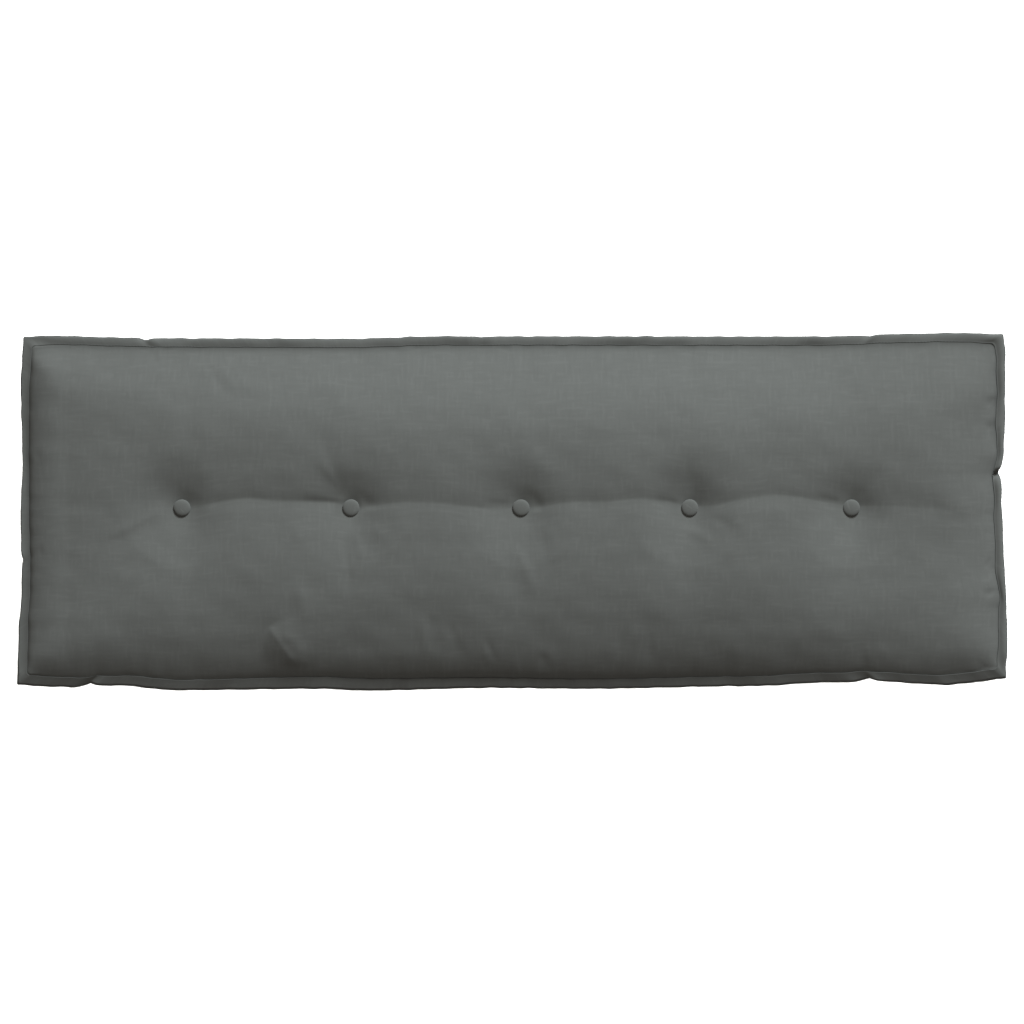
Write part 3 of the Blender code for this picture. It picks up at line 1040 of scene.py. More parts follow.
@dataclass
class PaddedCover:
    """The filled cover: crowned front face, boxing strip and back face in one."""

    plan: SeamPlan
    buttons: list[Pair]
    front_seam_z: float
    back_seam_z: float
    top_z: float
    strip: float = 0.0018           # the sewn strip reaches this far past a flange's
    lip: float = 0.0001             # middle, and stands this far above the front one's
    seam_ease: float = 0.0038       # the cloth leaves its seam level, and then climbs
    run_middle: float = 0.150
    run_ends: float = 0.025
    growth_left: float = 0.115
    growth_right: float = 0.085
    growth_corner: float = 0.045    # the upper right corner is filled furthest out
    sides_run: float = 0.6          # the left's measures turn into the right's
    halves_run: float = 0.080       # and the lower half's into the upper's
    end_run: float = 0.050
    less_run: float = 0.015         # off it on the left, and
    more_run: float = 0.022         # on top of it at the upper right
    end_share: float = 0.26
    more_share: Pair = (0.04, 0.10)     # on top of it above, and at the upper right
    end_lip: float = 0.07
    lip_reach: float = 0.006
    shaded_pockets: tuple[Pair, ...] = (    # places at the right seam where a deeper shade is painted
        (0.126, 0.005), (0.098, 0.007), (-0.086, 0.004), (-0.104, 0.004),
    )
    lumps: tuple[tuple[float, float, int], ...] = (     # height, wavelength, seed
        (0.00035, 0.085, 11), (0.00012, 0.030, 12),
    )
    spare: float = 0.0012           # of the crown, which the dips take up again
    low_bulge: float = 2.8          # rim rolls that the middle of the lower rim bulges
    roll_start: float = 0.0016      # a rim's roll starts within this of its seam
    rim_roll: float = 0.0012        # the left rim rolls over steeply into its seam
    long_run: float = 0.300         # the right half climbs to its full height sooner
    long_start: float = 0.020
    left_run: float = 0.480
    left_start: float = 0.045
    pucker_height: float = 0.00022
    pucker_reach: float = 0.018
    pucker_pitch: Pair = (0.034, 0.021)
    top_knee: float = 0.51          # how much of the run climbs before it rounds over
    bottom_knee: float = 0.267
    top_soft: float = 0.113         # how softly it rounds over
    bottom_soft: float = 0.28
    end_knee: float = 0.46          # the lower run is tighter at both ends
    end_soft: float = 0.135
    back_run: float = 0.048
    seat_radius: float = 0.0086
    tuft_depth: float = 0.0130
    tuft_reach: float = 0.056       # how far a dimple reaches above its button
    tuft_power: float = 1.55
    tuft_lean: float = 0.005        # the cloth is drawn in from further on the left
    sag_near: float = 0.058         # and below it, where the cloth sags further down
    sag_far: float = 0.150
    sag_share: float = 0.42
    hold_reach: float = 0.004       # how far a seam or a tie holds the cloth
    valley_reach: float = 0.056
    valley_round: float = 0.0016    # how soft the bottom of the crease is
    lap: float = 0.10               # extra depth where the upper cloth laps down to it
    crease_y: float = 0.0095
    boxing_bulge: float = 0.0065
    boxing_corner: float = 0.016
    boxing_rows: int = 12
    coarse_columns: int = 140
    coarse_rows: int = 52
    columns: Array = field(init=False)
    rows: Array = field(init=False)

    def __post_init__(self) -> None:
        """Lay out the cloth's lines, three fine ones for each coarse one."""
        half_x, half_y = self.plan.half_x, self.plan.half_y
        places = tuple(x for x, _ in self.buttons)
        places += (-half_x, half_x, PINCHES[0].top[0] * MM + 0.012)
        self.columns = graded(half_x, FINE * self.coarse_columns, places, 0.020, 0.9)
        places = (self.crease_y, -half_y, half_y)
        self.rows = graded(half_y, FINE * self.coarse_rows, places, 0.016, 1.3)

    def rise(self, distance: Array, run: Array | float, power: float) -> Array:
        """Share of the full height at some distance in from a seam."""
        left = np.clip(1 - distance / run, 0.0, 1.0)
        return 1 - left**power

    def climb(self, distance: Array, knee: Array, soft: Array) -> Array:
        """Share of the full height of a straight climb that rounds over at its knee.

        Args:
            distance: distances in from the seam.
            knee: where it rounds over.
            soft: how softly it does.

        Returns:
            Shares from 0 to 1.
        """
        start = soft * np.log1p(np.exp(-knee / soft))
        over = soft * np.logaddexp(0.0, (distance - knee) / soft)
        return (distance - over + start) / (knee + start)

    def spread(self, u: Array, above: Array) -> Array:
        """How wide the runs have grown at some distance from the ends, from 0 to 1.

        Args:
            u: cloth positions along the length.
            above: 0 on the lower half, 1 on the upper.

        Returns:
            Shares from 0 to 1.
        """
        rightward = past(u, self.sides_run)
        right = blend(self.growth_right, self.growth_corner, above)
        growth = blend(self.growth_left, right, rightward)
        return 1 - fading(self.plan.half_x - np.abs(u), growth)

    def crown(self, u: Array, v: Array) -> Array:
        """Share of the front's full height, drawn down towards all four seams.

        Args:
            u: cloth positions along the length.
            v: cloth positions up the height.

        Returns:
            Shares from 0 to 1.
        """
        above = past(v, self.halves_run)
        rightward = past(u, self.sides_run)
        in_x, in_y = self.plan.insets(u, v)
        ease = self.seam_ease * (0.1 + 0.9 * above)
        in_y = in_y - ease * (1 - fading(in_y, ease))
        low_share, right_share = self.more_share
        end_share = self.end_share + (low_share + right_share * rightward) * above
        less, more = self.less_run, self.more_run * rightward * above
        end_run = self.end_run - less * (1 - rightward) + more
        left = np.maximum(in_x - self.left_start, 0.0)
        left = self.rise(left, self.left_run, 2.0)
        right = eased((in_x - self.long_start) / self.long_run)
        ends = (
            end_share * self.rise(in_x, end_run, 2.0)
            + self.end_lip * (1 - fading(in_x, self.lip_reach))
            + (1 - end_share - self.end_lip) * blend(left, right, past(u, 0.12))
        )
        grown = self.spread(u, above)
        run = blend(self.run_ends, self.run_middle, grown)
        wide = grown**1.5
        knee = blend(blend(self.end_knee, self.bottom_knee, wide), self.top_knee, above)
        soft = blend(blend(self.end_soft, self.bottom_soft, wide), self.top_soft, above)
        return self.climb(in_y, knee * run, soft * run) * ends

    def hollow(self, u: Array, v: Array) -> Array:
        """Share of the back's full depth, drawn in towards all four seams."""
        in_x, in_y = self.plan.insets(u, v)
        return self.rise(in_x, self.back_run, 2.2) * self.rise(in_y, self.back_run, 2.2)

    def along_crease(self, x: Array, values: list[float]) -> Array:
        """Run smoothly through one value for each point of the crease."""
        at = np.array([point.x_mm for point in CREASE]) * MM
        return through(at, np.array(values) * MM, x)

    def crease(self, x: Array) -> Array:
        """Height on the face of the crease along the button row.

        Args:
            x: plan positions along the length.

        Returns:
            Plan positions up the height.
        """
        shifts = (-0.010, -0.005, 0.0, 0.005, 0.010)
        values = [point.y_mm for point in CREASE]
        return sum(self.along_crease(x + near, values) for near in shifts) / len(shifts)

    def sharpness(self, x: Array) -> Array:
        """Depth of the crease."""
        return self.along_crease(x, [point.depth_mm for point in CREASE])

    def nearest(self, x: Array, y: Array) -> Array:
        """Distance in plan to the nearest button."""
        away = [np.hypot(x - bx, y - by) for bx, by in self.buttons]
        return np.minimum.reduce(away)

    def tuft(self, x: Array, y: Array) -> Array:
        """Depth of the dimples: short and steep above each button, long below it.

        Args:
            x: plan positions along the length.
            y: plan positions up the height.

        Returns:
            Depths in metres.
        """
        total = np.zeros_like(x)
        for bx, by in self.buttons:
            away = np.hypot(x - bx, y - by)
            up = eased(0.5 + 0.5 * (y - by) / np.maximum(away, 0.001))
            lean = self.tuft_lean * up * eased((away - self.seat_radius) / 0.02)
            drawn = np.hypot(x - bx + lean, y - by)
            from_seat = np.maximum(drawn - self.seat_radius, 0.0)
            far = np.hypot(1.8 * (x - bx), y - by)
            far = np.maximum(far - self.seat_radius, 0.0)
            steep = np.clip(1 - from_seat / self.tuft_reach, 0.0, 1.0)
            near = np.clip(1 - from_seat / self.sag_near, 0.0, 1.0) ** 1.05
            sag = np.clip(1 - far / self.sag_far, 0.0, 1.0) ** 1.5
            low = blend(near, sag, self.sag_share)
            total = np.maximum(total, blend(low, steep**self.tuft_power, up))
        return self.tuft_depth * total

    def channel(self, x: Array, y: Array) -> Array:
        """Depth of the shallow channel that has the crease at its bottom.

        Args:
            x: plan positions along the length.
            y: plan positions up the height.

        Returns:
            Depths in metres.
        """
        away = y - self.crease(x)
        soft = self.valley_round
        lap_reach = np.where(away > 0, 0.005, 0.014)
        away = np.sqrt(away**2 + soft**2) - soft
        lap = self.lap * fading(away, lap_reach)
        return self.sharpness(x) * (fading(away, self.valley_reach) + lap)

    def pinch_rise(self, x: Array, y: Array) -> Array:
        """Height of the pleats drawn up above the lower seam.

        Args:
            x: plan positions along the length.
            y: plan positions up the height.

        Returns:
            Heights in metres.
        """
        total = np.zeros_like(x)
        for pinch in PINCHES:
            ridge = np.subtract(pinch.right, pinch.top)
            side = np.subtract(pinch.left, pinch.top)
            length = math.hypot(*ridge)
            reach = pinch.beyond
            rx, ry = x / MM - pinch.top[0], y / MM - pinch.top[1]
            along = (rx * ridge[0] + ry * ridge[1]) / length
            across = (ry * ridge[0] - rx * ridge[1]) / length
            turn = (side[0] * ridge[1] - side[1] * ridge[0]) / np.dot(side, ridge)
            wide = np.maximum(along, 0.0) * abs(turn)
            wide = pinch.widest * np.tanh(wide / pinch.widest)
            soft = pinch.soft
            plane = soft * np.logaddexp(0.0, (wide + np.minimum(across, 0.0)) / soft)
            plane = plane - soft * math.log(2.0) * fading(wide, soft)
            drop = pinch.crest_drop + np.maximum(along, 0.0)
            beyond = reach * np.tanh(drop / reach)
            fall = fading(np.maximum(across, 0.0), beyond)
            fade = eased(along / pinch.onset)
            fade = fade * (1 - eased((along / length - 0.75) / 0.6))
            slope = pinch.slope * (1 + fading(along, pinch.crest))
            total += slope * MM * np.maximum(plane, 0.0) * fall * fade
        return total

    def fold_depth(self, x: Array, y: Array) -> Array:
        """Depth of all the creases and ridges together.

        Args:
            x: plan positions along the length.
            y: plan positions up the height.

        Returns:
            Depths in metres, below zero on a ridge.
        """
        total = np.zeros_like(x)
        for fold in FOLDS:
            dx, dy = (fold.to_x - fold.from_x) * MM, (fold.to_y - fold.from_y) * MM
            length = math.hypot(dx, dy)
            rx, ry = x - fold.from_x * MM, y - fold.from_y * MM
            along = (rx * dx + ry * dy) / length**2
            across = (ry * dx - rx * dy) / length
            share = np.clip(along, 0.0, 1.0)
            across = across - fold.bow * MM * np.sin(math.pi * share)
            width = blend(fold.start_width, fold.end_width, share) * MM
            body = np.exp(-(((along - 0.42) / 0.42) ** 4))
            side = across / width
            side = side * np.where(side > 0, 1 + 1.2 * fold.lean, 1 - 0.4 * fold.lean)
            total += fold.depth * MM * body * np.exp(-(side**2))
        return total

    def puckers(self, x: Array, y: Array, edge: Array) -> Array:
        """Small gathers where the cloth is eased into the seam.

        Args:
            x: plan positions along the length.
            y: plan positions up the height.
            edge: distances in from the nearest seam.

        Returns:
            Heights in metres.
        """
        run = np.where(np.abs(x) + self.plan.corner > self.plan.half_x - edge, y, x)
        long, short = self.pucker_pitch
        ripple = np.sin(run * math.tau / long + 2.2 * np.sin(run * 17.0))
        ripple += 0.6 * np.sin(run * math.tau / short + 1.7 * np.sin(run * 29.0 + 1.0))
        at_left = past(-(x + self.plan.half_x - 0.03), 0.05)
        strength = (0.5 + 0.5 * swell(x, y, 0.16, 5)) * (1 - 0.6 * at_left)
        return self.pucker_height * ripple * strength * fading(edge, self.pucker_reach)

    def rolls(self, u: Array, v: Array) -> Array:
        """How far the left and the lower rim stand out, in parts of a rim roll.

        Args:
            u: cloth positions along the length.
            v: cloth positions up the height.

        Returns:
            Heights, with 1 for a whole rim roll.
        """
        in_left, in_low = self.plan.half_x + u, self.plan.half_y + v
        left = (1 - fading(in_left, self.roll_start)) * fading(in_left, 0.022)
        left = np.minimum(left, self.plan.inset(u, v) / self.roll_start)
        low = 0.15 * (1 - fading(in_low, self.roll_start)) * fading(in_low, 0.060)
        fuller = 1 + 1.4 * (1 - self.spread(u, np.zeros_like(u)))
        low += 2 * fuller * (1 - fading(in_low, 0.018)) * fading(in_low, 0.300)
        low *= 1 - bell(self.plan.half_x - np.abs(u), 0.045)
        bulge = self.low_bulge * bell(u + 0.03, 0.28)
        rim = (1 - fading(in_low, 0.0055)) * (1 - eased((in_low - 0.012) / 0.058))
        return left + (low + bulge * rim)

    def front(self, x: Array, y: Array, u: Array, v: Array) -> Array:
        """Height of the front face.

        Args:
            x: plan position along the length.
            y: plan position up the height.
            u: cloth position along the length.
            v: cloth position up the height.

        Returns:
            Heights in metres.
        """
        base = self.front_seam_z + self.lip
        share, edge = self.crown(u, v), self.plan.inset(u, v)
        from_seat = np.maximum(self.nearest(x, y) - self.seat_radius, 0.0)
        dip = np.hypot(self.tuft(x, y), self.channel(x, y))
        dip = dip + self.fold_depth(x, y) * eased(from_seat / 0.012)
        dip = dip - self.pinch_rise(x, y)
        for depth, wavelength, seed in self.lumps:
            lump = depth * swell(x, y, wavelength, seed)
            dip = dip - lump * np.clip(from_seat / 0.02, 0.0, 1.0)
        lift = (self.top_z - base + self.spare) * share
        lift = lift - dip * np.clip(share * 3, 0.0, 1.0)
        lift = lift + self.puckers(x, y, edge) * np.clip(edge / 0.003, 0, 1)
        lift = lift + self.rim_roll * self.rolls(u, v)
        return np.maximum(base + np.maximum(lift, 0.0), base)

    def held(self, x: Array, y: Array, u: Array, v: Array) -> Array:
        """How firmly the cloth is held at its seams, its ties and its crease.

        Args:
            x: plan positions along the length.
            y: plan positions up the height.
            u: cloth positions along the length.
            v: cloth positions up the height.

        Returns:
            Shares from 0 to 1.
        """
        tied = np.maximum(self.nearest(x, y) - self.seat_radius - 0.002, 0.0)
        edge = np.minimum(self.plan.inset(u, v), tied)
        ends = fading(self.plan.half_x - np.abs(u), 0.022)
        creased = 0.8 * eased(self.sharpness(x) / 0.004)
        creased = creased * fading(np.abs(y - self.crease(x)), self.hold_reach)
        firm = np.maximum.reduce([fading(edge, self.hold_reach), ends, creased])
        return np.clip(firm, 0.0, 1.0)

    def seam_shade(self, u: Array, v: Array) -> Array:
        """Painted shade where the cloth lies deep in its seams, strongest at the right
        and upper seams.

        Args:
            u: cloth positions along the length.
            v: cloth positions up the height.

        Returns:
            0 on open cloth and 1 or more where shade is painted in a seam.
        """
        # painted shade: a darker band along the right seam, deeper at its pockets, and
        # along the upper seam
        in_right = self.plan.half_x - u
        shaded_pockets = sum(bell(v - place, reach) for place, reach in self.shaded_pockets)
        right = fading(in_right, 0.0026 * (1 + 1.4 * shaded_pockets))
        right = right * (0.7 + 1.2 * past(v, 0.16) + 1.6 * shaded_pockets)
        top = 1.5 * fading(self.plan.half_y - v, 0.0042)
        return np.maximum.reduce([fading(self.plan.inset(u, v), 0.0028), right, top])

    def seat(self, x: float, y: float) -> float:
        """Height of the cloth under a button."""
        here = np.array([x]), np.array([y])
        return float(self.front(*here, *here)[0])

    def back(self, x: Array, y: Array, u: Array, v: Array) -> Array:
        """Height of the back face, flat on the floor but for its rim and tied tufts.

        Args:
            x: plan positions along the length.
            y: plan positions up the height.
            u: cloth positions along the length.
            v: cloth positions up the height.

        Returns:
            Heights in metres.
        """
        rim = self.back_seam_z - self.strip
        away = np.clip(1 - (self.nearest(x, y) / 0.020) ** 2, 0.0, 1.0)
        return rim * (1 - self.hollow(u, v)) + 0.005 * away**2

    def boxing_out(self, u: Array, v: Array, down: float) -> Array:
        """How far the strip stands out, some share of the way down to the back.

        Args:
            u: cloth positions along the length.
            v: cloth positions up the height.
            down: share of the way down.

        Returns:
            Distances out, in metres.
        """
        in_x, in_y = self.plan.insets(u, v)
        from_corner = np.where(np.abs(in_x) < SAME, in_y, in_x)
        fill = 1 - 0.75 * bell(from_corner, 0.045)
        lumps = 1 + 0.16 * swell(u, v + 0.4 * down, 0.12, 21)
        return self.boxing_bulge * fill * lumps * math.sin(math.pi * down) ** 0.8

    def boxing(self) -> tuple[list[Array], list[float]]:
        """Rings of points down the boxing strip, and the level of each.

        Returns:
            The rings from the top down, and their heights.
        """
        u, v, _ = self.plan.walk(self.columns, self.rows)
        top, low = self.front_seam_z - self.strip, self.back_seam_z + self.strip
        rings, levels = [], []
        for row in range(self.boxing_rows + 1):
            down = row / self.boxing_rows
            corner = self.plan.corner + self.boxing_corner * math.sin(math.pi * down)
            x, y = self.plan.place(u, v, self.boxing_out(u, v, down), corner)
            levels.append(blend(top, low, down))
            rings.append(np.stack([x, y, np.full(len(u), levels[-1])], axis=1))
        return rings, levels

    def build(self) -> Piece:
        """Build the cover as one closed mesh: its front, its boxing and its back.

        Returns:
            The cover.
        """
        u, v = np.meshgrid(self.columns, self.rows, indexing="ij")
        bent = v + (self.crease(u) - self.crease_y) * bell(v - self.crease_y, 0.060)
        x, y = self.plan.place(u, bent)
        front = np.stack([x, y, self.front(x, y, u, bent)], axis=2)
        front[..., 2] += ClothPass().gain(front, self.held(x, y, u, v))
        skin = Skin()
        skin.grid(np.stack([u, v], axis=2))

        rings, levels = self.boxing()
        around = len(rings[0])
        _, _, step = self.plan.walk(self.columns, self.rows)
        column, row = rim_of(*u.shape)
        loops = [column * u.shape[1] + row]
        loops += [u.size + around * k + np.arange(around) for k in range(len(rings))]
        heights = [self.front_seam_z + self.lip, *levels]
        for k in range(len(rings)):
            skin.band(loops[k], loops[k + 1], step, (heights[k], heights[k + 1]))

        # painted shade along the front's seams
        front_shade = self.seam_shade(u, v).ravel()
        u, v = np.meshgrid(self.columns[::FINE], self.rows[::FINE], indexing="ij")
        x, y = self.plan.place(u, v)
        back = np.stack([x, y, self.back(x, y, u, v)], axis=2)
        points = np.concatenate([front.reshape(-1, 3), *rings, back.reshape(-1, 3)])
        start = len(points) - u.size
        column, row = rim_of(*u.shape)
        rim = start + column * u.shape[1] + row
        fine = np.append(loops[-1], loops[-1][0])
        first = FINE * np.arange(len(rim))
        last, inner, outer = first + FINE, first + 1, first + FINE - 1
        run = step[np.stack([first, first, last, last, outer, inner], 1)]
        over = np.full_like(run, levels[-1])
        over[:, 1:3] -= 2 * self.strip
        joins = [fine[first], rim, np.roll(rim, -1)]
        joins += [fine[last], fine[outer], fine[inner]]
        skin.lay(np.stack(joins, 1), np.stack([run, over], 2))
        skin.grid(np.stack([u, v], axis=2), start, flipped=True)

        # painted shade: the front's seam shade, and a full line of it where the front
        # meets the boxing strip
        painted_shade = np.zeros(len(points))
        painted_shade[: front_shade.size] = front_shade
        painted_shade[front_shade.size :][:around] = 1.0
        return make_piece("padded_cover", points, skin, painted_shade, loops[0])

    def dress(self, piece: Piece, cloth: Material) -> None:
        """Args:
            piece: the built cover.
            cloth: its material.
        """
        piece.data.materials.append(cloth)
        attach(piece, ROOT)
        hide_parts("cushion")


# ---------------------------------------------------------------- flanges


@dataclass
class Flange:
    """A flat flange of doubled cloth sewn round one seam, with a rolled outer edge."""

    name: str
    node: str
    plan: SeamPlan
    level: float
    width: float
    columns: Array
    rows: Array
    seed: int
    thick: float = 0.003
    gap: float = 0.0003
    ragged: float = 0.00014         # its edge wavers in and out by this
    droop: float = 0.0012
    hang_bottom: float = 0.42       # slope of the lower flange, which turns away
    hang_left: float = 0.0026       # drop of the left flange, which levels out
    puff_right: float = 2.3         # the right flange is rounder than the others
    peep: float = 0.0               # how far it peeps out at the bottom and left
    turned: float = 0.0010          # the lower edge turns down in a narrow roll

    def section(self) -> list[tuple[float, float, float]]:
        """Cross-section, each as share of width, height in mm and how much shade is
        painted there.

        The upper layer of cloth ends just short of the lower one, which shows as a
        narrow second edge below it.

        Returns:
            The places of the section, once round.
        """
        # painted shade: the third column darkens the crease at the inner edge and,
        # most, the groove between the two layers
        return [
            (0.00, 0.25, 1.0), (0.06, 0.14, 0.8), (0.14, 0.20, 0.4), (0.25, 0.36, 0.2),
            (0.38, 0.52, 0.1), (0.52, 0.62, 0.0), (0.66, 0.62, 0.0), (0.77, 0.52, 0.0),
            (0.84, 0.36, 0.0), (0.88, 0.20, 0.1), (0.905, -0.05, 0.3),
            (0.915, -0.40, 0.8), (0.905, -0.72, 3.4), (0.93, -0.84, 2.4),
            (0.965, -0.84, 0.3), (0.99, -1.02, 0.3), (1.00, -1.30, 0.3),
            (0.98, -1.58, 0.2), (0.90, -1.72, 0.0), (0.65, -1.70, 0.0),
            (0.35, -1.55, 0.0), (0.00, -1.40, 0.6),
        ]

    def nicks(self, u: Array, v: Array) -> tuple[Array, Array]:
        """Height of the kinks beside the nicks, and depth in mm of the dips there.

        Args:
            u: cloth positions along the length.
            v: cloth positions up the height.

        Returns:
            The kinks in metres and the dips in millimetres.
        """
        sides = {
            "top": (u, v - self.rows[-1]), "bottom": (u, v - self.rows[0]),
            "left": (v, u - self.columns[0]), "right": (v, u - self.columns[-1]),
        }
        kink, dip = np.zeros(len(u)), np.zeros(len(u))
        for notch in NOTCHES:
            along, off = sides[notch.side]
            on_side = np.abs(off) < SAME
            away = (along - notch.place_mm * MM) / (notch.reach_mm * MM)
            kink += on_side * notch.kink_mm * MM * away * np.exp(0.5 - away**2 / 2)
            dip += on_side * notch.dip_mm * bell(1.6 * away, 1.0)
        return kink, dip

    def build(self) -> Piece:
        """Build the flange as one closed ring.

        Returns:
            The flange.
        """
        u, v, step = self.plan.walk(self.columns, self.rows)
        around = len(u)
        section = self.section()
        rough = swell(u, v, 0.060, self.seed)
        fine = swell(u, v, 0.022, self.seed + 1)
        wave = np.sin(u * 31 + v * 23 + self.seed) + 0.6 * np.sin(u * 67 - v * 41)
        kink, dip = self.nicks(u, v)
        from_low, from_left = v - self.rows[0], u - self.columns[0]
        low, left, right = (
            eased(1 - away / SIDE)
            for away in (from_low, from_left, self.columns[-1] - u)
        )
        puff = 1 + self.puff_right * right
        peep = self.peep * eased(1 - np.minimum(from_low, from_left) / 0.040)
        rings, painted_shade = [], []
        for share, lift, held in section:
            out = self.gap + (self.width - self.gap) * share
            out = out + (self.ragged * fine + peep) * share
            turned = self.turned * low * np.clip((share - 0.93) / 0.07, 0.0, 1.0)
            corner = self.plan.corner + self.gap - (self.plan.corner - 0.0015) * share
            shows = blend(AT_SEAM, 1.0, share)
            x, y = self.plan.place(u, v, out + turned, corner, shows)
            height = np.full(around, lift)
            if lift > 0.1:
                height = height * (1 + 0.18 * rough) * puff
                height = blend(height, 0.45, np.maximum(low, left))
            drop = self.droop * share * wave / 1.6 * (1 - 0.7 * low)
            drop = drop + kink * share + 0.0003 * rough * share - 1.4 * turned
            drop = drop - dip * MM * math.sin(math.pi * share) ** 0.5
            sag = self.hang_left * (1 - (1 - share) ** 2) * left
            drop = drop - np.maximum(self.hang_bottom * self.width * share * low, sag)
            rings.append(np.stack([x, y, self.level + height * MM + drop], axis=1))
            # painted shade from the section's third column, and more in the dip of each
            # nick
            painted_shade.append(held + 0.4 * dip * (share < 1.0))
        lengths = np.hypot(
            np.diff([share * self.width for share, _, _ in section]),
            np.diff([lift * MM for _, lift, _ in section]),
        )
        over = np.concatenate([[0.0], np.cumsum(lengths), [lengths.sum() + self.thick]])
        skin = Skin()
        rows = np.arange(len(section) * around).reshape(-1, around)
        for k, ahead in enumerate(np.roll(rows, -1, axis=0)):
            skin.band(rows[k], ahead, step, (over[k], over[k + 1]))
        return make_piece(self.name, np.concatenate(rings), skin, np.concatenate(painted_shade))

    def dress(self, piece: Piece, cloth: Material) -> None:
        """Give the flange its cloth and put it in the place of its plain solid.

        Args:
            piece: the built flange.
            cloth: its material.
        """
        piece.data.materials.append(cloth)
        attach(piece, ROOT)
        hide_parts(self.node)


# ---------------------------------------------------------------- topstitching


@dataclass
class Topstitching:
    """A row of lockstitches sunk into the crease between a flange and its face."""

    name: str
    plan: SeamPlan
    level: float
    columns: Array
    rows: Array
    out: float = 0.0011
    pitch: float = 0.0036
    stitch_length: float = 0.0026
    thread: float = 0.00045
    sink: float = 0.00025       # lower along the bottom and left, with the flange

    def path(self) -> Piece:
        """Make the closed line that the stitches follow.

        Returns:
            The line, as a mesh of edges alone.
        """
        u, v, _ = self.plan.walk(self.columns, self.rows)
        x, y = self.plan.place(u, v, self.out, self.plan.corner, 0.4)
        mesh = bpy.data.meshes.new(self.name)
        low = self.sink * eased(1 - (v - self.rows[0]) / SIDE)
        left = 1.8 * self.sink * eased(1 - (u - self.columns[0]) / SIDE)
        points = np.stack([x, y, self.level - np.maximum(low, left)], axis=1)
        count = len(points)
        edges = [(k, (k + 1) % count) for k in range(count)]
        mesh.from_pydata(points.tolist(), edges, [])
        return linked(self.name, mesh)

    def tree(self, thread: Material) -> Tree:
        """Build the nodes that lay a stitch at each pitch along a line.

        Args:
            thread: material of the stitches.

        Returns:
            A tree with inputs for pitch, stitch length and thread.
        """
        tree = bpy.data.node_groups.new("lockstitch_row", "GeometryNodeTree")
        for label in ("Line", "Pitch", "Stitch length", "Thread", "Stitches"):
            way = "OUTPUT" if label == "Stitches" else "INPUT"
            shape = label in ("Line", "Stitches")
            kind = "NodeSocketGeometry" if shape else "NodeSocketFloat"
            tree.interface.new_socket(label, in_out=way, socket_type=kind)
        given = add_node(tree, "NodeGroupInput").outputs
        curve = add_node(tree, "GeometryNodeMeshToCurve", Mesh=given["Line"])
        spots = add_node(
            tree, "GeometryNodeCurveToPoints", {"mode": "LENGTH"},
            Curve=curve.outputs[0], Length=given["Pitch"],
        )
        stitch = add_node(
            tree, "GeometryNodeMeshUVSphere", Segments=6, Rings=5, Radius=0.5
        )
        size = add_node(
            tree, "ShaderNodeCombineXYZ",
            X=given["Thread"], Y=given["Thread"], Z=given["Stitch length"],
        )
        laid = add_node(
            tree, "GeometryNodeInstanceOnPoints", Instance=stitch.outputs[0],
            Points=spots.outputs["Points"], Rotation=spots.outputs["Rotation"],
            Scale=size.outputs[0],
        )
        real = add_node(tree, "GeometryNodeRealizeInstances", Geometry=laid.outputs[0])
        dyed = add_node(
            tree, "GeometryNodeSetMaterial", Geometry=real.outputs[0], Material=thread
        )
        end = add_node(tree, "NodeGroupOutput")
        tree.links.new(dyed.outputs[0], end.inputs[0])
        return tree

    def build(self, thread: Material) -> Piece:
        """Lay the stitches and turn them into a plain mesh.

        Args:
            thread: material of the stitches.

        Returns:
            The stitches.
        """
        line = self.path()
        rows = line.modifiers.new("stitches", "NODES")
        rows.node_group = self.tree(thread)
        sizes = {
            "Pitch": self.pitch,
            "Stitch length": self.stitch_length,
            "Thread": self.thread * 2,
        }
        for item in rows.node_group.interface.items_tree:
            if item.name in sizes:
                rows[item.identifier] = sizes[item.name]
        graph = bpy.context.evaluated_depsgraph_get()
        mesh = bpy.data.meshes.new_from_object(line.evaluated_get(graph))
        mesh.name = self.name
        line.modifiers.clear()
        bpy.data.objects.remove(line)
        mesh.shade_smooth()
        return linked(self.name, mesh)

    def dress(self, piece: Piece) -> None:
        """Let the stitches ride with the cushion."""
        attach(piece, ROOT)


# ---------------------------------------------------------------- buttons


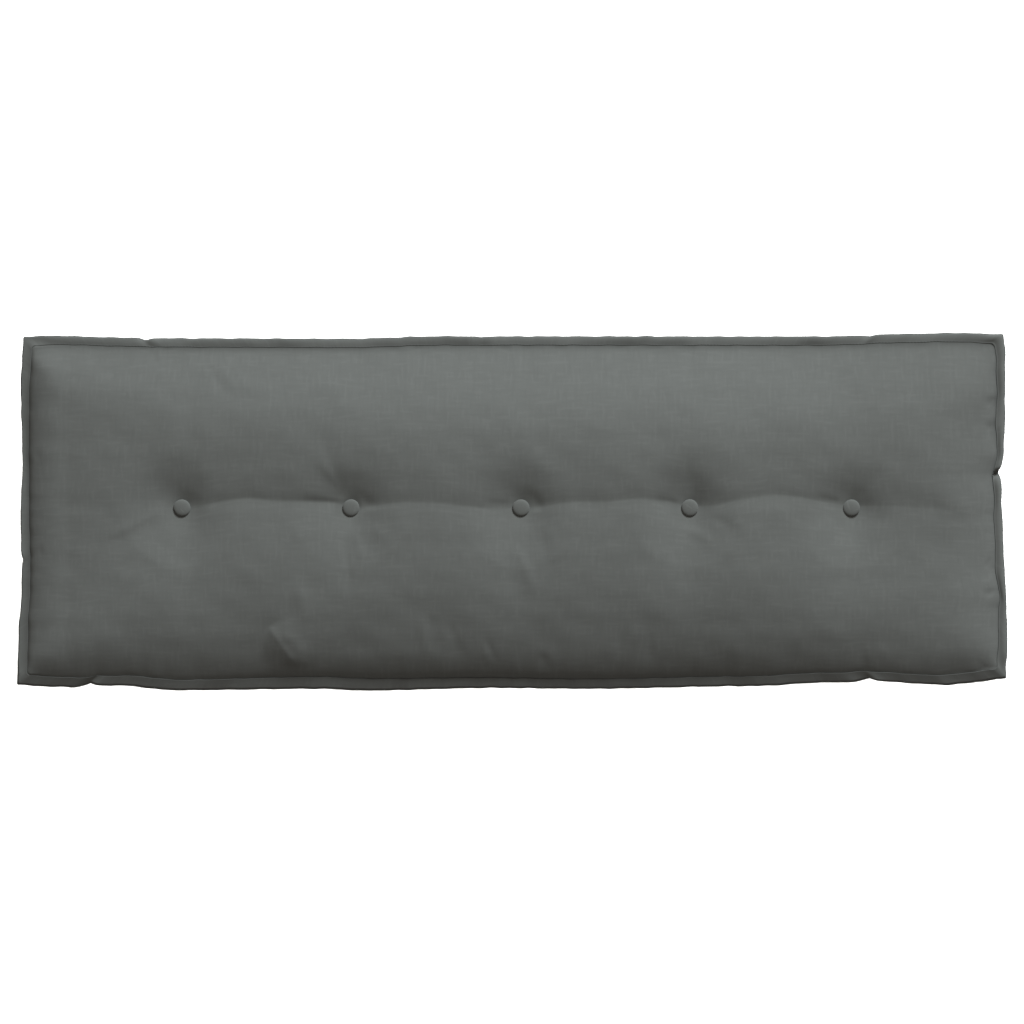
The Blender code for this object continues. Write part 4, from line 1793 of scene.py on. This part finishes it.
@dataclass
class CoveredButton:
    """A domed button under a disc of the same cloth, gathered behind its rim."""

    name: str
    node: str
    x: float
    y: float
    base_z: float
    turn: float
    radius: float = 0.0093
    height: float = 0.0052
    sides: int = 56

    def profile(self) -> list[Pair]:
        """Half section from the top of the dome to the underside.

        Returns:
            Distance out and height of each place.
        """
        rim = 0.52 * self.height
        over = self.height - rim
        line = []
        for step in range(10):
            angle = math.radians(90 * step / 9)
            reach = self.radius * math.sin(angle) ** 0.9
            line.append((reach, rim + over * math.cos(angle) ** 0.75))
        for reach, up in ((0.985, 0.20), (0.93, 0.10), (0.84, 0.03), (0.66, 0.0)):
            line.append((self.radius * reach, self.height * up))
        return line

    def build(self) -> Piece:
        """Build the button as one closed mesh.

        Returns:
            The button.
        """
        profile = self.profile()
        angles = np.arange(self.sides) * math.tau / self.sides
        middle = np.array([self.x, self.y, self.base_z])
        rings = [middle[None] + (0.0, 0.0, profile[0][1])]
        for k, (reach, up) in enumerate(profile[1:], start=1):
            gather = max(0.0, (k - 6) / 7)
            pleat = 1 + 0.018 * gather * np.sin(angles * 17 + self.turn)
            lump = 1 + 0.012 * np.sin(angles * 2 + self.turn * 3)
            out = reach * pleat * lump
            ring = [out * np.cos(angles), out * np.sin(angles), np.full(self.sides, up)]
            rings.append(middle + np.stack(ring, axis=1))
        points = np.concatenate([*rings, middle[None]])
        skin = Skin()
        end = len(points) - 1 - self.sides
        for m in range(self.sides):
            n = (m + 1) % self.sides
            skin.faces.append([0, 1 + m, 1 + n])
            for a in range(1, end, self.sides):
                b = a + self.sides
                skin.faces.append([a + m, b + m, b + n, a + n])
            skin.faces.append([end + m, len(points) - 1, end + n])
        corner = np.concatenate(skin.faces)
        flat = points[corner, :2] - middle[:2]
        drop = (self.base_z + self.height - points[corner, 2])[:, None]
        away = np.linalg.norm(flat, axis=1, keepdims=True)
        flat = flat * (1 + drop / np.maximum(away, 0.002))
        cos, sin = math.cos(self.turn), math.sin(self.turn)
        spin = np.array([[cos, sin], [-sin, cos]])
        skin.cloth.append(flat @ spin + (self.x * 3.1, 0.7))
        return make_piece(self.name, points, skin, np.zeros(len(points)))

    def dress(self, piece: Piece, cloth: Material) -> None:
        """Cover the button and put it in the place of its plain solid.

        Args:
            piece: the built button.
            cloth: its material.
        """
        piece.data.materials.append(cloth)
        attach(piece, ROOT)
        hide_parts(self.node)


# ---------------------------------------------------------------- studio


@dataclass(frozen=True)
class Lamp:
    """One soft box: where it points from, how wide it is and how bright."""

    name: str
    azimuth_deg: float
    elevation_deg: float
    distance: float
    size: float
    power: float
    colour_hex: str


@dataclass
class Studio:
    """Pale floor, soft light and the camera straight over the front face."""

    middle_z: float
    across: float = 1.1377       # what the picture takes in at the front flange
    lens: float = 135.0
    sensor: float = 36.0
    ambient: float = 0.25
    ambient_hex: str = "fff7f0"
    floor_half: float = 4.0
    floor_z: float = -0.0004
    key: Lamp = Lamp("key_soft_box", 68.0, 28.5, 12.0, 4.2, 2030.0, "f5fbff")
    overhead: Lamp = Lamp("floor_soft_box", 0.0, 90.0, 5.0, 3.0, 900.0, "ffffff")

    def floor(self) -> Piece:
        """Make the floor that the cushion lies on.

        Returns:
            The floor.
        """
        mesh = bpy.data.meshes.new("studio_floor")
        half, low = self.floor_half, self.floor_z
        corners = [(-half, -half), (half, -half), (half, half), (-half, half)]
        mesh.from_pydata([(x, y, low) for x, y in corners], [], [(0, 1, 2, 3)])
        board = linked("studio_floor", mesh)
        board.data.materials.append(StudioFloor().build())
        return board

    def hang(self, lamp: Lamp) -> Piece:
        """Hang one soft box and turn it towards the cushion.

        Args:
            lamp: where it hangs, how wide it is and how bright.

        Returns:
            The light.
        """
        light = bpy.data.lights.new(lamp.name, "AREA")
        light.shape = "DISK"
        light.size = lamp.size
        light.energy = lamp.power
        light.color = linear(lamp.colour_hex)[:3]
        made = linked(lamp.name, light)
        turn, lift = math.radians(lamp.azimuth_deg), math.radians(lamp.elevation_deg)
        made.location = (
            lamp.distance * math.cos(lift) * math.cos(turn),
            lamp.distance * math.cos(lift) * math.sin(turn),
            self.middle_z + lamp.distance * math.sin(lift),
        )
        made.rotation_euler = (math.pi / 2 - lift, 0.0, turn + math.pi / 2)
        return made

    def light(self, board: Piece) -> None:
        """Light the cushion from the upper right, and from overhead the floor alone.

        Args:
            board: the floor.
        """
        self.hang(self.key)
        overhead = self.hang(self.overhead)
        only = bpy.data.collections.new("floor_only")
        only.objects.link(board)
        overhead.light_linking.receiver_collection = only
        world = bpy.data.worlds.new("soft_room")
        bpy.context.scene.world = world
        tree = emptied(world)
        room, white = (
            add_node(tree, "ShaderNodeBackground", Color=colour, Strength=strength)
            for colour, strength in (
                (linear(self.ambient_hex), self.ambient),
                ((1.0, 1.0, 1.0, 1.0), 1.0),
            )
        )
        mixed = shown(tree, room.outputs[0], white.outputs[0])
        add_node(tree, "ShaderNodeOutputWorld", Surface=mixed)
        bpy.context.scene.view_settings.view_transform = "Standard"

    def camera(self) -> None:
        """Set the camera straight over the middle of the front face."""
        data = bpy.data.cameras.new("camera")
        data.lens = self.lens
        data.sensor_width = self.sensor
        data.clip_end = 100.0
        made = linked("camera", data)
        above = self.across * self.lens / self.sensor
        made.location = (0.0, 0.0, self.middle_z + above)
        bpy.context.scene.camera = made


# ---------------------------------------------------------------- assembly


def middle(low_high: tuple, axis: int) -> float:
    """Middle of a box along one axis."""
    return (low_high[0][axis] + low_high[1][axis]) / 2


def main() -> None:
    """Build every piece in order, and light and frame the cushion."""
    logging.basicConfig(level=logging.INFO, format="%(name)s: %(message)s")
    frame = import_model()
    LOG.info("%d plain solids to dress", len(frame["nodes"]))

    plan = SeamPlan(HALF_LENGTH - FLANGE_WIDTH, HALF_HEIGHT - FLANGE_WIDTH)
    front_z = middle(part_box("front_flange"), 2)
    back_z = middle(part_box("back_flange"), 2)
    buttons = [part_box(f"button_{number}") for number in range(1, 6)]
    spots = [(middle(box, 0), middle(box, 1)) for box in buttons]
    cover = PaddedCover(plan, spots, front_z, back_z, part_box("cushion")[1][2])
    made = [cover.build()]
    cover.dress(made[0], MelangeCloth("melange_cover_cloth").build())

    cloth = MelangeCloth("melange_flange_cloth").build()
    thread = SewingThread().build()
    grid = cover.columns, cover.rows
    for face, level, facing, seed, peep in (
        ("front", front_z, 1, 31, 0.0), ("back", back_z, -1, 47, 1.1 * MM),
    ):
        flange = Flange(
            f"{face}_flange_cloth", f"{face}_flange", plan, level, FLANGE_WIDTH, *grid,
            seed, peep=peep,
        )
        made.append(flange.build())
        flange.dress(made[-1], cloth)
        line = level - facing * STITCH_SUNK
        sewing = Topstitching(f"{face}_topstitching", plan, line, *grid)
        made.append(sewing.build(thread))
        sewing.dress(made[-1])

    cloth = MelangeCloth("melange_button_cloth", base_hex="636562").build()
    for number, (x, y) in enumerate(spots, start=1):
        button = CoveredButton(
            f"covered_button_{number}", f"button_{number}", x, y,
            base_z=cover.seat(x, y) - BUTTON_SUNK, turn=0.9 * number,
        )
        made.append(button.build())
        button.dress(made[-1], cloth)
    for piece in made:
        LOG.info("%s: %d faces", piece.name, len(piece.data.polygons))

    studio = Studio(middle_z=front_z)
    studio.light(studio.floor())
    studio.camera()


if __name__ == "__main__":
    main()
